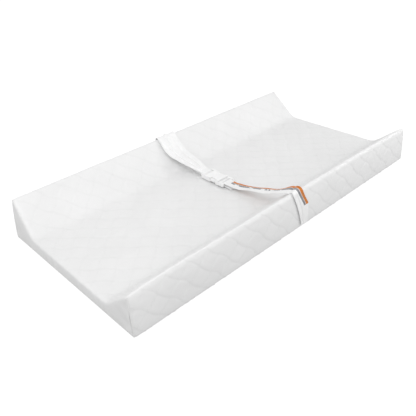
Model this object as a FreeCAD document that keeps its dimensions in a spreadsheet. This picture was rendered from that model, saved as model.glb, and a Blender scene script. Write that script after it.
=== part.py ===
import FreeCAD, Part
import os
import Sketcher

# A two-sided contour changing pad: a quilted wipe-clean cover over foam, with a safety belt that closes
# in a side-release buckle, and two furniture anchor tabs folded flat into its base.
# X runs along the pad, Y across it with the near long side at -Y, Z up. The origin is the middle of the base.
# All sizes are millimetres.

DRIVING_SIZES = {
    # the pad
    "pad_length": 813.0,
    "pad_width": 406.0,
    "crest_height": 92.0,
    "seat_height": 31.0,
    "slope_run": 75.0,
    # the layers of the cover
    "skin": 1.2,
    "fill": 3.0,
    "base_skin": 3.4,
    # the belt webbing
    "webbing": 1.6,
    "webbing_half": 12.5,
    "belt_rise": 2.0,
    "belt_gap": 1.2,
    "far_crest_left": 45.0,
    "far_crest_right": 22.0,
    "far_seam_left": 32.0,
    "far_seam_right": 10.0,
    "near_crest_left": 17.0,
    "near_crest_right": 25.0,
    "near_seam_left": 18.0,
    "near_seam_right": 46.0,
    "far_bend_back": 160.0,
    "near_bend_back": 112.0,
    "near_bend_up": 56.0,
    "near_low_back": 42.0,
    "near_low_up": 35.5,
    # the buckle
    "buckle_mid_up": 40.0,
    "buckle_half": 17.0,
    "mouth_back": 4.0,
    "socket_shell": 42.0,
    "socket_frame": 12.0,
    "socket_half_high": 5.5,
    "socket_wall": 2.0,
    "socket_end_wall": 6.0,
    "window_start": 8.0,
    "window_long": 19.0,
    "cheek": 4.0,
    "bar_half": 1.5,
    "loop_hole_half": 1.9,
    "socket_bar_back": 55.0,
    "plug_base": 16.0,
    "plug_half_high": 4.6,
    "plug_bar_front": 7.0,
    "tongue_half": 4.0,
    "tongue_half_high": 2.5,
    "tongue_long": 30.0,
    "arm_half_high": 3.0,
    "arm_root_in": 8.2,
    "arm_root_out": 11.0,
    "arm_start": 0.5,
    "arm_long": 30.0,
    "arm_head_out": 17.5,
    "arm_head_in": 11.5,
    "arm_head_start": 9.0,
    "arm_head_long": 13.5,
    # the furniture anchor tabs
    "anchor_from_end": 110.0,
    "anchor_half": 12.5,
    "anchor_web": 1.4,
    "anchor_long": 58.0,
    "anchor_pivot_back": 197.0,
    "anchor_mid_up": 1.2,
    "pocket_half": 15.5,
    "pocket_deep": 2.6,
    "pocket_long": 62.0,
    "eyelet_back": 46.0,
    "eyelet_hole": 2.6,
    "eyelet_neck": 3.6,
    "eyelet_flange": 5.6,
    "eyelet_half_high": 1.0,
    # tall enough to trim anything
    "trim": 130.0,
}

doc = FreeCAD.newDocument("changing_pad")
sheet = doc.addObject("Spreadsheet::Sheet", "sizes")
for row, (alias, number) in enumerate(DRIVING_SIZES.items(), start=1):
    sheet.set(f"A{row}", str(number))
    sheet.setAlias(f"A{row}", alias)
doc.recompute()


class Size:
    """A length that keeps its number together with the sheet expression it came from."""

    def __init__(self, text, number):
        self.text = text
        self.number = number

    def join(self, sign, other, number):
        return Size(f"({self.text} {sign} {as_size(other).text})", number)

    def __add__(self, other):
        return self.join("+", other, self.number + as_size(other).number)

    def __sub__(self, other):
        return self.join("-", other, self.number - as_size(other).number)

    def __mul__(self, other):
        return self.join("*", other, self.number * as_size(other).number)

    def __truediv__(self, other):
        return self.join("/", other, self.number / as_size(other).number)

    def __neg__(self):
        return Size(f"(0 - {self.text})", -self.number)


def as_size(value):
    return value if isinstance(value, Size) else Size(str(value), value)


def cell(alias):
    return Size(f"sizes.{alias}", DRIVING_SIZES[alias])


# ---------------------------------------------------------------- sketches and prisms

V_AXIS = -2
H_AXIS = -1
ROOT_POINT = -1


def pin(sketch, kind, line, size, axis):
    """Hold the start of a line at a distance from the origin, bound to the sheet."""
    size = as_size(size)
    if abs(size.number) < 1e-9:
        sketch.addConstraint(Sketcher.Constraint("PointOnObject", line, 1, axis))
        return
    index = sketch.addConstraint(Sketcher.Constraint(kind, ROOT_POINT, 1, line, 1, size.number))
    sketch.setExpression(f"Constraints[{index}]", size.text)


def draw(sketch, corners):
    """One closed outline whose every corner is bound to the sheet."""
    first = sketch.GeometryCount
    count = len(corners)
    points = [FreeCAD.Vector(as_size(across).number, as_size(up).number, 0) for across, up in corners]
    for index in range(count):
        sketch.addGeometry(Part.LineSegment(points[index], points[(index + 1) % count]))
    for index in range(count):
        following = first + (index + 1) % count
        sketch.addConstraint(Sketcher.Constraint("Coincident", first + index, 2, following, 1))
    for index, (across, up) in enumerate(corners):
        pin(sketch, "DistanceX", first + index, across, V_AXIS)
        pin(sketch, "DistanceY", first + index, up, H_AXIS)


class Circle:
    """A round outline, given by its centre and radius."""

    def __init__(self, across, up, radius):
        self.across = across
        self.up = up
        self.radius = radius


def draw_circle(sketch, circle):
    centre = FreeCAD.Vector(as_size(circle.across).number, as_size(circle.up).number, 0)
    radius = as_size(circle.radius)
    index = sketch.addGeometry(Part.Circle(centre, FreeCAD.Vector(0, 0, 1), radius.number))
    held = (
        Sketcher.Constraint("DistanceX", ROOT_POINT, 1, index, 3, centre.x),
        Sketcher.Constraint("DistanceY", ROOT_POINT, 1, index, 3, centre.y),
        Sketcher.Constraint("Radius", index, radius.number),
    )
    sizes = (circle.across, circle.up, radius)
    for constraint, size in zip(held, sizes):
        place = sketch.addConstraint(constraint)
        sketch.setExpression(f"Constraints[{place}]", as_size(size).text)


def sketch_on(body, plane, level, outlines):
    """A sketch parallel to one of the body's own origin planes, at a level along that plane's normal."""
    sketch = body.newObject("Sketcher::SketchObject", body.Name + "_outline")
    support = next(f for f in body.Origin.OriginFeatures if f.Role == plane)
    sketch.AttachmentSupport = [(support, "")]
    sketch.MapMode = "FlatFace"
    sketch.setExpression("AttachmentOffset.Base.z", as_size(level).text)
    for shape in outlines:
        if isinstance(shape, Circle):
            draw_circle(sketch, shape)
        else:
            draw(sketch, shape)
    return sketch


def levels(plane, low, high):
    """The two levels along the plane's normal. The XZ plane's normal is -Y, so its levels swap over."""
    if plane == "XZ_Plane":
        return -as_size(high), -as_size(low)
    return as_size(low), as_size(high)


def add(body, plane, low, high, *outlines):
    start, stop = levels(plane, low, high)
    sketch = sketch_on(body, plane, start, outlines)
    pad = body.newObject("PartDesign::Pad", body.Name + "_pad")
    pad.Profile = sketch
    pad.setExpression("Length", (stop - start).text)
    body.Tip = pad
    doc.recompute()


def cut(body, plane, low, high, *outlines):
    """Take a prism away, and make sure that it took something."""
    start, stop = levels(plane, low, high)
    before = body.Shape.Volume
    sketch = sketch_on(body, plane, stop, outlines)
    pocket = body.newObject("PartDesign::Pocket", body.Name + "_pocket")
    pocket.Profile = sketch
    pocket.setExpression("Length", (stop - start).text)
    body.Tip = pocket
    doc.recompute()
    if body.Shape.Volume > before - 1e-6:
        raise RuntimeError(f"{body.Label}: a pocket took nothing away")


SUB_PARTS = []


def new_body(label):
    body = doc.addObject("PartDesign::Body", label)
    body.Label = label
    SUB_PARTS.append(body)
    return body


def prism(label, plane, low, high, *outlines):
    body = new_body(label)
    add(body, plane, low, high, *outlines)
    return body


def rectangle(low_across, high_across, low_up, high_up):
    return [
        (low_across, low_up),
        (high_across, low_up),
        (high_across, high_up),
        (low_across, high_up),
    ]


def mirrored(corners):
    return [(-as_size(across), up) for across, up in reversed(corners)]


# ---------------------------------------------------------------- the pad

half_length = cell("pad_length") / 2
half_width = cell("pad_width") / 2
crest = cell("crest_height")
seat = cell("seat_height")
skin = cell("skin")
fill = cell("fill")
base_skin = cell("base_skin")
steepness = (crest - seat) / cell("slope_run")
foot = half_width - cell("slope_run")
inner_length = half_length - skin


def slope_up(inset, below):
    """Height of the inner slope, this far in from the long side and this far below the surface."""
    return crest - below - steepness * inset


def section(inset, below):
    """The top line of the section from the near long side to the far one."""
    return [
        (inset - half_width, slope_up(inset, below)),
        (-foot, seat - below),
        (foot, seat - below),
        (half_width - inset, slope_up(inset, below)),
    ]


def top_layer(label, inset, below, thick):
    upper = section(inset, below)
    lower = section(inset, below + thick)
    return prism(label, "YZ_Plane", -inner_length, inner_length, upper + lower[::-1])


def side_layer(label, side, inset, thick, bottom, below):
    """An upright layer along one long side, cut to the slope at its top."""
    corners = [
        (half_width - inset - thick, bottom),
        (half_width - inset, bottom),
        (half_width - inset, slope_up(inset, below)),
        (half_width - inset - thick, slope_up(inset + thick, below)),
    ]
    outline = corners if side == "far" else mirrored(corners)
    return prism(label, "YZ_Plane", -inner_length, inner_length, outline)


def bolster(label, side):
    inset = skin + fill
    top_of_slab = seat - skin - fill
    corners = [
        (foot, top_of_slab),
        (half_width - inset, top_of_slab),
        (half_width - inset, slope_up(inset, inset)),
    ]
    outline = corners if side == "far" else mirrored(corners)
    return prism(label, "YZ_Plane", -inner_length, inner_length, outline)


def end_panel(label, low, high):
    corners = [(-half_width, 0), (half_width, 0)] + section(as_size(0.0), as_size(0.0))[::-1]
    return prism(label, "YZ_Plane", low, high, corners)


slab_half = half_width - skin - fill
prism(
    "foam_base_slab",
    "YZ_Plane",
    -inner_length,
    inner_length,
    rectangle(-slab_half, slab_half, base_skin, seat - skin - fill),
)
for side in ("near", "far"):
    bolster(f"foam_bolster_{side}", side)
top_layer("wadding_top", skin, skin, fill)
top_layer("cover_top_panel", as_size(0.0), as_size(0.0), skin)
for side in ("near", "far"):
    side_layer(f"wadding_side_{side}", side, skin, fill, base_skin, skin + fill)
    side_layer(f"cover_side_panel_{side}", side, as_size(0.0), skin, base_skin, skin)
end_panel("cover_end_panel_left", -half_length, -inner_length)
end_panel("cover_end_panel_right", inner_length, half_length)

# The base panel has a shallow recess for each anchor tab, open towards the far long side.
anchor_middle = half_length - cell("anchor_from_end")
anchor_pivot = cell("anchor_pivot_back")
base_panel = prism(
    "cover_base_panel",
    "XY_Plane",
    as_size(0.0),
    base_skin,
    rectangle(-inner_length, inner_length, -half_width, half_width),
)
pocket_half = cell("pocket_half")
for middle in (-anchor_middle, anchor_middle):
    recess = rectangle(
        middle - pocket_half,
        middle + pocket_half,
        anchor_pivot - cell("pocket_long"),
        half_width + skin,
    )
    cut(base_panel, "XY_Plane", -skin, cell("pocket_deep"), recess)

# ---------------------------------------------------------------- the anchor tabs

anchor_up = cell("anchor_mid_up")
eyelet_middle = anchor_pivot - cell("eyelet_back")
neck = cell("eyelet_neck")
flange = cell("eyelet_flange")
half_web = cell("anchor_web") / 2


def ring(label, corners, across, back, up):
    """A body turned about its own upright axis, then placed."""
    body = new_body(label)
    sketch = sketch_on(body, "XZ_Plane", as_size(0.0), [corners])
    turned = body.newObject("PartDesign::Revolution", body.Name + "_turned")
    turned.Profile = sketch
    turned.ReferenceAxis = (sketch, ["V_Axis"])
    turned.Angle = 360
    body.Tip = turned
    for axis, size in (("x", across), ("y", back), ("z", up)):
        body.setExpression(f"Placement.Base.{axis}", size.text)
    doc.recompute()
    return body


def anchor(side, middle):
    tab = prism(
        f"anchor_tab_{side}",
        "XY_Plane",
        anchor_up - half_web,
        anchor_up + half_web,
        rectangle(
            middle - cell("anchor_half"),
            middle + cell("anchor_half"),
            anchor_pivot - cell("anchor_long"),
            anchor_pivot,
        ),
    )
    cut(tab, "XY_Plane", as_size(0.0), base_skin, Circle(middle, eyelet_middle, neck))
    tall = cell("eyelet_half_high")
    bore = cell("eyelet_hole")
    profile = [
        (bore, -tall),
        (flange, -tall),
        (flange, -half_web),
        (neck, -half_web),
        (neck, half_web),
        (flange, half_web),
        (flange, tall),
        (bore, tall),
    ]
    ring(f"anchor_eyelet_{side}", profile, middle, eyelet_middle, anchor_up)


anchor("left", -anchor_middle)
anchor("right", anchor_middle)

# ---------------------------------------------------------------- the belt

web = cell("webbing")
web_half = cell("webbing_half")
rise = cell("belt_rise")
gap = cell("belt_gap")
buckle_up = cell("buckle_mid_up")
hole_half = cell("loop_hole_half")
loop_half = hole_half + web
socket_bar = cell("socket_bar_back")
plug_bar = -cell("plug_bar_front")
trim = cell("trim")


def belt_side(label, side, seam_left, seam_right, crest_left, crest_right):
    """The stretch of belt that is stitched flat to the long side, from the base seam to the crest."""
    low = half_width if side == "far" else -half_width - web
    corners = [
        (seam_left, base_skin),
        (seam_right, base_skin),
        (crest_right, crest),
        (crest_left, crest),
    ]
    return prism(label, "XZ_Plane", low, low + web, corners)


def belt_run(label, line, crest_left, crest_right, bar, inward):
    """The free stretch: a strip along its underside line, tapered in plan, ending in a loop round a bar.

    Inward is +1 where the loop lies further along +Y than the crest, and -1 where it lies further along -Y.
    """
    upper = [(across, up + rise) for across, up in line]
    body = prism(label, "YZ_Plane", crest_left, crest_right, line + upper[::-1])
    crest_back = line[-1][0]
    taper_end = bar - (loop_half + web_half) * inward
    past_loop = bar + (loop_half + web_half) * inward
    for wide, narrow in ((crest_left, -web_half), (crest_right, web_half)):
        outside = wide * 2
        corners = [
            (wide, crest_back),
            (narrow, taper_end),
            (narrow, past_loop),
            (outside, past_loop),
            (outside, crest_back),
        ]
        cut(body, "XY_Plane", as_size(0.0), trim, corners)
    ring_outline = rectangle(bar - loop_half, bar + loop_half, buckle_up - loop_half, buckle_up + loop_half)
    hole_outline = rectangle(bar - hole_half, bar + hole_half, buckle_up - hole_half, buckle_up + hole_half)
    add(body, "YZ_Plane", -web_half, web_half, ring_outline, hole_outline)
    return body


belt_side(
    "belt_side_far",
    "far",
    -cell("far_seam_left"),
    cell("far_seam_right"),
    -cell("far_crest_left"),
    cell("far_crest_right"),
)
belt_side(
    "belt_side_near",
    "near",
    cell("near_seam_left"),
    cell("near_seam_right"),
    -cell("near_crest_left"),
    cell("near_crest_right"),
)

far_bend = cell("far_bend_back")
far_line = [
    (socket_bar + loop_half, buckle_up - rise / 2),
    (far_bend, slope_up(half_width - far_bend, -gap)),
    (half_width, crest + gap),
]
belt_run(
    "belt_run_far",
    far_line,
    -cell("far_crest_left"),
    cell("far_crest_right"),
    socket_bar,
    -1,
)
near_line = [
    (plug_bar - loop_half, buckle_up - rise / 2),
    (-cell("near_low_back"), cell("near_low_up")),
    (-cell("near_bend_back"), cell("near_bend_up")),
    (-half_width, crest + gap),
]
belt_run(
    "belt_run_near",
    near_line,
    -cell("near_crest_left"),
    cell("near_crest_right"),
    plug_bar,
    1,
)

# ---------------------------------------------------------------- the buckle

buckle_half = cell("buckle_half")
mouth = cell("mouth_back")
shell_end = mouth + cell("socket_shell")
frame_end = shell_end + cell("socket_frame")
socket_high = cell("socket_half_high")
wall = cell("socket_wall")
bar_half = cell("bar_half")
opening_half = buckle_half - cell("cheek")
cavity_high = socket_high - wall

socket = prism(
    "buckle_socket",
    "XY_Plane",
    buckle_up - socket_high,
    buckle_up + socket_high,
    rectangle(-buckle_half, buckle_half, mouth, frame_end),
)
cut(
    socket,
    "XY_Plane",
    buckle_up - cavity_high,
    buckle_up + cavity_high,
    rectangle(wall - buckle_half, buckle_half - wall, mouth - wall, shell_end - cell("socket_end_wall")),
)
window_start = mouth + cell("window_start")
window_stop = window_start + cell("window_long")
cut(
    socket,
    "XY_Plane",
    buckle_up - cavity_high,
    buckle_up + cavity_high,
    rectangle(-buckle_half - wall, buckle_half + wall, window_start, window_stop),
)
slot_outlines = (
    rectangle(-opening_half, opening_half, shell_end, socket_bar - bar_half),
    rectangle(-opening_half, opening_half, socket_bar + bar_half, frame_end + wall),
)
cut(socket, "XY_Plane", as_size(0.0), trim, *slot_outlines)
bar_relief = rectangle(-opening_half, opening_half, shell_end, frame_end + wall)
cut(socket, "XY_Plane", buckle_up + bar_half, trim, bar_relief)
cut(socket, "XY_Plane", as_size(0.0), buckle_up - bar_half, bar_relief)

plug_back = mouth - cell("plug_base")
plug_high = cell("plug_half_high")
plug = prism(
    "buckle_plug",
    "XY_Plane",
    buckle_up - plug_high,
    buckle_up + plug_high,
    rectangle(-buckle_half, buckle_half, plug_back, mouth - cell("arm_start")),
)
plug_inner = mouth - cell("cheek")
plug_slots = (
    rectangle(-opening_half, opening_half, plug_bar + bar_half, plug_inner),
    rectangle(-opening_half, opening_half, plug_back - wall, plug_bar - bar_half),
)
cut(plug, "XY_Plane", as_size(0.0), trim, *plug_slots)
plug_relief = rectangle(-opening_half, opening_half, plug_back - wall, plug_inner)
cut(plug, "XY_Plane", buckle_up + bar_half, trim, plug_relief)
cut(plug, "XY_Plane", as_size(0.0), buckle_up - bar_half, plug_relief)
tongue_half = cell("tongue_half")
add(
    plug,
    "XY_Plane",
    buckle_up - cell("tongue_half_high"),
    buckle_up + cell("tongue_half_high"),
    rectangle(-tongue_half, tongue_half, plug_inner, mouth + cell("tongue_long")),
)

arm_start = mouth + cell("arm_start") * 0.4
head_start = mouth + cell("arm_head_start")
head_stop = head_start + cell("arm_head_long")
arm_tip = mouth + cell("arm_long")
arm_outline = [
    (cell("arm_root_in"), arm_start),
    (cell("arm_root_out"), arm_start),
    (cell("arm_root_out") + wall, head_start),
    (cell("arm_head_out"), head_start + wall),
    (cell("arm_head_out"), head_stop - wall),
    (cell("arm_head_out") - wall * 2, arm_tip),
    (cell("arm_head_in"), arm_tip),
    (cell("arm_head_in"), head_start + wall),
]
for end, outline in (("left", mirrored(arm_outline)), ("right", arm_outline)):
    prism(
        f"buckle_arm_{end}",
        "XY_Plane",
        buckle_up - cell("arm_half_high"),
        buckle_up + cell("arm_half_high"),
        outline,
    )

# ---------------------------------------------------------------- checks and files

doc.recompute()
for item in doc.Objects:
    if "Invalid" in item.State or "Error" in item.State:
        raise RuntimeError(f"{item.Label} did not compute: {item.State}")
for part in SUB_PARTS:
    shape = part.Shape
    if shape.isNull() or not shape.isValid() or len(shape.Solids) != 1:
        raise RuntimeError(f"{part.Label} is not one valid solid")
os.makedirs("parts", exist_ok=True)
for part in SUB_PARTS:
    part.Shape.exportStep(f"parts/{part.Label}.step")
    box = part.Shape.BoundBox
    print(
        f"{part.Label}: {part.Shape.Volume:.0f} mm3, "
        f"x {box.XMin:.1f} to {box.XMax:.1f}, y {box.YMin:.1f} to {box.YMax:.1f}, "
        f"z {box.ZMin:.1f} to {box.ZMax:.1f}"
    )
print(len(SUB_PARTS), "parts")
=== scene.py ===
# %% [markdown]
# # A quilted changing pad, piece by piece
# A changing pad is a foam tray in a wipe-clean cover. The cover is quilted on its top and along its two
# raised sides, plain at its ends, and has a gripping cloth below. A soft belt closes across the middle in
# a side-release buckle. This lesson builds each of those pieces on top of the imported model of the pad,
# which already says where everything is and how it moves.

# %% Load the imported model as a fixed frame
import math

import bmesh
import bpy
import numpy as np
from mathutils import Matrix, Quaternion, Vector, noise
from mathutils.bvhtree import BVHTree


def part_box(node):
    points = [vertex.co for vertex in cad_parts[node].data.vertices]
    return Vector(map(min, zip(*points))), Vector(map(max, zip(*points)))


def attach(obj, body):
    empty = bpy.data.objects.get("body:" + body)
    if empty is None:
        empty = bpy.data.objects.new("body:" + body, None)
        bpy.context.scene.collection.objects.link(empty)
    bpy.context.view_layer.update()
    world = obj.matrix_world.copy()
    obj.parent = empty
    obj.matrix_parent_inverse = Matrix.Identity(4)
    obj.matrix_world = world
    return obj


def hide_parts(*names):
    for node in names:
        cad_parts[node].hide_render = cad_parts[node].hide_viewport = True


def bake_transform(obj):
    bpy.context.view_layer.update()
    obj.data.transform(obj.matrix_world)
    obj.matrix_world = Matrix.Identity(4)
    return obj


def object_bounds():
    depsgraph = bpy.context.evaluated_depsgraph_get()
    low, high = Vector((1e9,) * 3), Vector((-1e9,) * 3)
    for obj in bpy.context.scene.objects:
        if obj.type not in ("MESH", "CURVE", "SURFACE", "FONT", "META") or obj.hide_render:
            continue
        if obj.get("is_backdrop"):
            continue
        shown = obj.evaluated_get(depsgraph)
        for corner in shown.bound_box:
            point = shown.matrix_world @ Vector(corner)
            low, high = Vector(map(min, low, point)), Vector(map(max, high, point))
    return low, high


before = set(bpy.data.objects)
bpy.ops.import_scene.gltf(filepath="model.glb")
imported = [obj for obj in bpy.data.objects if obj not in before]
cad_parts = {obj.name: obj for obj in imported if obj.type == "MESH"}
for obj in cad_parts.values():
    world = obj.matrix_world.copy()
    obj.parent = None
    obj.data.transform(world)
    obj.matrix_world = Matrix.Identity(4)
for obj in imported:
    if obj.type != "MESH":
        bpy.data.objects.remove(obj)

cad_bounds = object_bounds()
MM = 0.001
TAU = 2 * math.pi

# %% [markdown]
# ## Sizes
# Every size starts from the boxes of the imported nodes: half the length and width, the height of the two
# crests, the height of the seat, and how far the seat reaches before the inner slopes begin. Blender
# works in metres, so the small sizes that a maker would give in millimetres are written with MM.

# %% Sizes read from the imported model
panel_low, panel_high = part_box("cover_top_panel")
end_low, end_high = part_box("cover_end_panel_right")
slab_low, slab_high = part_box("foam_base_slab")
bolster_low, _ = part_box("foam_bolster_far")
HALF_LENGTH = end_high.x
HALF_WIDTH = panel_high.y
CREST = panel_high.z
SKIN = end_high.x - end_low.x
SEAT = panel_low.z + SKIN
FOOT = bolster_low.y
BASE = slab_low.z
pad_size = [round(1000 * size) for size in (2 * HALF_LENGTH, 2 * HALF_WIDTH, CREST)]
print(f"pad {pad_size} mm, seat {1000 * SEAT:.1f} mm")

# %% [markdown]
# ## The section of the pad
# Cut across, the pad is one line: up the near long side, over its crest, down the slope, across the seat
# and the same again at the far side. All three quilted panels lie on that line, so it is worked out once,
# as corners joined with round arcs, and then asked for a point and an outward direction at any distance
# along it. Foam in a sewn cover has no sharp edge, so the crest gets a small arc and the foot of the
# slope a large one.

# %% The section as a line with arcs
CREST_RADIUS = 3.2 * MM
FOOT_RADIUS = 34 * MM
HEM_RADIUS = 2.5 * MM
SIDE_LEAN = 2 * MM
SHARP_CREST = CREST + 4.4 * MM
UNDERSIDE = 0.6 * MM
HEM_TURN = 14 * MM
PAST_CREST = 5 * MM


def unit(vector):
    return vector / np.linalg.norm(vector)


def rounded(corners, radii, step=0.5 * MM):
    """The corners joined with straight runs and tangent arcs, as closely spaced points."""
    corners = [np.array(c, float) for c in corners]
    points = [corners[0]]
    for before, corner, after, radius in zip(corners, corners[1:], corners[2:], radii):
        to_before, to_after = unit(before - corner), unit(after - corner)
        half = math.acos(float(np.clip(to_before @ to_after, -1, 1))) / 2
        centre = corner + unit(to_before + to_after) * radius / math.sin(half)
        first = corner + to_before * radius / math.tan(half) - centre
        last = corner + to_after * radius / math.tan(half) - centre
        sweep = math.pi - 2 * half
        count = max(2, int(sweep * radius / step))
        for k in range(count + 1):
            t = k / count
            mixed = math.sin((1 - t) * sweep) * first + math.sin(t * sweep) * last
            points.append(centre + mixed / math.sin(sweep))
    points.append(corners[-1])
    return np.array(points)


class Line:
    """A line in the Y-Z plane, measured by the distance along it."""

    def __init__(self, points, step=0.25 * MM):
        lengths = np.concatenate([[0], np.cumsum(np.linalg.norm(np.diff(points, axis=0), axis=1))])
        self.length = lengths[-1]
        self.along = np.linspace(0, self.length, int(self.length / step))
        self.y = np.interp(self.along, lengths, points[:, 0])
        self.z = np.interp(self.along, lengths, points[:, 1])
        self.turn_y = np.gradient(self.y, self.along)
        self.turn_z = np.gradient(self.z, self.along)

    def at(self, along):
        """Y, Z and the outward direction's Y, Z at distances along the line."""
        y, z = np.interp(along, self.along, self.y), np.interp(along, self.along, self.z)
        ty, tz = np.interp(along, self.along, self.turn_y), np.interp(along, self.along, self.turn_z)
        size = np.hypot(ty, tz)
        return y, z, -tz / size, ty / size


half_section = [
    (0, SEAT),
    (FOOT, SEAT),
    (HALF_WIDTH - SIDE_LEAN, SHARP_CREST),
    (HALF_WIDTH, UNDERSIDE),
    (HALF_WIDTH - HEM_TURN, UNDERSIDE),
]
section_corners = [(-y, z) for y, z in half_section[:0:-1]] + half_section[1:]
near_radii = [HEM_RADIUS, CREST_RADIUS, FOOT_RADIUS]
section = Line(rounded(section_corners, near_radii + near_radii[::-1]))
middle = section.length / 2
upper_half = section.along > middle
outermost = section.along[upper_half][np.argmax(section.z[upper_half])]
TOP_REACH = outermost - middle + PAST_CREST
between_crests = np.abs(section.along - middle) < outermost - middle


def along_at(y):
    """The distance along the section at which it passes a Y between the crests."""
    return np.interp(y, section.y[between_crests], section.along[between_crests])


HEM_REACH = middle - HEM_TURN / 2
crest_y = np.interp(outermost, section.along, section.y)
print(f"section {1000 * section.length:.0f} mm, crest at y {1000 * crest_y:.1f} mm")

# %% [markdown]
# ## How a sewn foam pad settles
# A sewn pad is never quite straight. Its crests droop a little towards the corners, where the end panels
# pull them down, its ends lean, and its faces are very slightly uneven. One function moves points for
# that. The panels, their stitches and the core go through it, so that they stay together. DROOP and FLARE
# are given for each corner, by its end (-1 left, 1 right) and its side (-1 near, 1 far), and FLARE has
# one length for the crest and one for the base.

# %% Droop, lean and unevenness, the same for every piece
END_RADIUS = 2.6 * MM
DROOP = {(-1, -1): 4 * MM, (1, -1): 6 * MM, (-1, 1): 0.5 * MM, (1, 1): 0.5 * MM}
DROOP_REACH = 42 * MM
FLARE = {(-1, -1): (0, 0), (1, -1): (9 * MM, 19 * MM), (-1, 1): (5 * MM, -5 * MM), (1, 1): (-2 * MM, 3 * MM)}
UNEVEN = 0.9 * MM


def settle(points):
    """Move points on the pad as its foam and sewing let them go."""
    points = np.array(points, float)
    share = np.clip((points[:, 2] - SEAT) / (CREST - SEAT), 0, 1)
    height = np.clip(points[:, 2] / CREST, 0, 1)
    distance = np.maximum(HALF_LENGTH - np.abs(points[:, 0]), 0)
    near_end = np.clip(np.abs(points[:, 0]) / HALF_LENGTH, 0, 1) ** 4
    shift = np.zeros(len(points))
    for (end, side), (at_crest, at_base) in FLARE.items():
        towards = np.clip(0.5 + 0.5 * side * points[:, 1] / HALF_WIDTH, 0, 1)
        here = np.sign(points[:, 0]) == end
        shift += here * towards * near_end * (height * at_crest + (1 - height) * at_base)
        drop = DROOP[end, side] * share * np.exp(-distance / DROOP_REACH)
        points[:, 2] -= here * (np.sign(points[:, 1]) == side) * drop
    points[:, 0] += shift
    lifted = np.clip(points[:, 2] / SEAT, 0, 1)
    for index, (x, y, z) in enumerate(points):
        wave = noise.noise(Vector((x * 9, y * 9 + 3, z * 5)))
        points[index, 2] += UNEVEN * wave * lifted[index]
    return points


def on_section(along_pad, along_section, height):
    """Points at a height over the section, whose ends turn in towards the end panels."""
    y, z, out_y, out_z = section.at(along_section)
    distance = np.clip(HALF_LENGTH - np.abs(along_pad), 0, END_RADIUS)
    turned_in = END_RADIUS - np.sqrt(END_RADIUS**2 - (END_RADIUS - distance) ** 2)
    off = height - turned_in
    return np.column_stack([along_pad, y + off * out_y, z + off * out_z])


top_corner = np.array([HALF_LENGTH, -HALF_WIDTH, CREST])
moved = 1000 * (settle([top_corner])[0] - top_corner)
print(f"the near right crest corner moves {moved[0]:.1f} mm along the pad and {moved[2]:.1f} mm up")

# %% [markdown]
# ## Finishes
# Materials come before the pieces that wear them. Vinyl is smooth but not glassy, with a very fine
# leather grain, so its bump is small and close. All of it is procedural and reads Object coordinates,
# which are the pad's own metres, so the grain has the same size on every piece.

# %% A helper for node materials
MIX_FACTOR, MIX_UNDER, MIX_OVER, MIX_RESULT = 0, 6, 7, 2


def grey(value):
    return (value, value, value)


class Finish:
    """A material under construction: a Principled shader and short ways to add nodes to it."""

    def __init__(self, name, colour, roughness, **inputs):
        self.material = bpy.data.materials.new(name)
        self.material.use_nodes = True
        self.tree = self.material.node_tree
        self.shader = self.tree.nodes["Principled BSDF"]
        self.shader.inputs["Base Color"].default_value = (*colour, 1)
        self.shader.inputs["Roughness"].default_value = roughness
        for key, value in inputs.items():
            self.shader.inputs[key.replace("_", " ")].default_value = value
        self.place = self.node("ShaderNodeTexCoord").outputs["Object"]

    def node(self, kind, **settings):
        made = self.tree.nodes.new(kind)
        for key, value in settings.items():
            setattr(made, key, value)
        return made

    def link(self, source, target):
        self.tree.links.new(source, target)

    def noise(self, scale, detail=3.0, place=None):
        made = self.node("ShaderNodeTexNoise")
        made.inputs["Scale"].default_value = scale
        made.inputs["Detail"].default_value = detail
        self.link(place or self.place, made.inputs["Vector"])
        return made.outputs["Fac"]

    def cells(self, scale):
        made = self.node("ShaderNodeTexVoronoi", feature="DISTANCE_TO_EDGE")
        made.inputs["Scale"].default_value = scale
        self.link(self.place, made.inputs["Vector"])
        return made.outputs["Distance"]

    def math(self, operation, first, second=None, clamp=False):
        made = self.node("ShaderNodeMath", operation=operation, use_clamp=clamp)
        for socket, value in zip(made.inputs, (first, second)):
            if isinstance(value, (int, float)):
                socket.default_value = value
            elif value is not None:
                self.link(value, socket)
        return made.outputs[0]

    def ramp(self, value, stops):
        """A colour from a value, by (position, colour) stops."""
        made = self.node("ShaderNodeValToRGB")
        elements = made.color_ramp.elements
        while len(elements) < len(stops):
            elements.new(0.5)
        for element, (position, colour) in zip(elements, stops):
            element.position = position
            element.color = (*colour, 1)
        self.link(value, made.inputs["Fac"])
        return made.outputs["Color"]

    def bump(self, height, distance, strength=1.0):
        made = self.node("ShaderNodeBump")
        made.inputs["Strength"].default_value = strength
        made.inputs["Distance"].default_value = distance
        self.link(height, made.inputs["Height"])
        self.link(made.outputs["Normal"], self.shader.inputs["Normal"])

    def mix(self, factor, under, over, blend="MIX"):
        """One colour over another. The upper one is a node's output or a fixed colour."""
        made = self.node("ShaderNodeMix", data_type="RGBA", blend_type=blend)
        self.link(factor, made.inputs[MIX_FACTOR])
        self.link(under, made.inputs[MIX_UNDER])
        if isinstance(over, tuple):
            made.inputs[MIX_OVER].default_value = (*over, 1)
        else:
            self.link(over, made.inputs[MIX_OVER])
        return made.outputs[MIX_RESULT]

    def colour(self, source):
        self.link(source, self.shader.inputs["Base Color"])


print("Finish builds one Principled material at a time")

# %% Vinyl and thread


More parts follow.
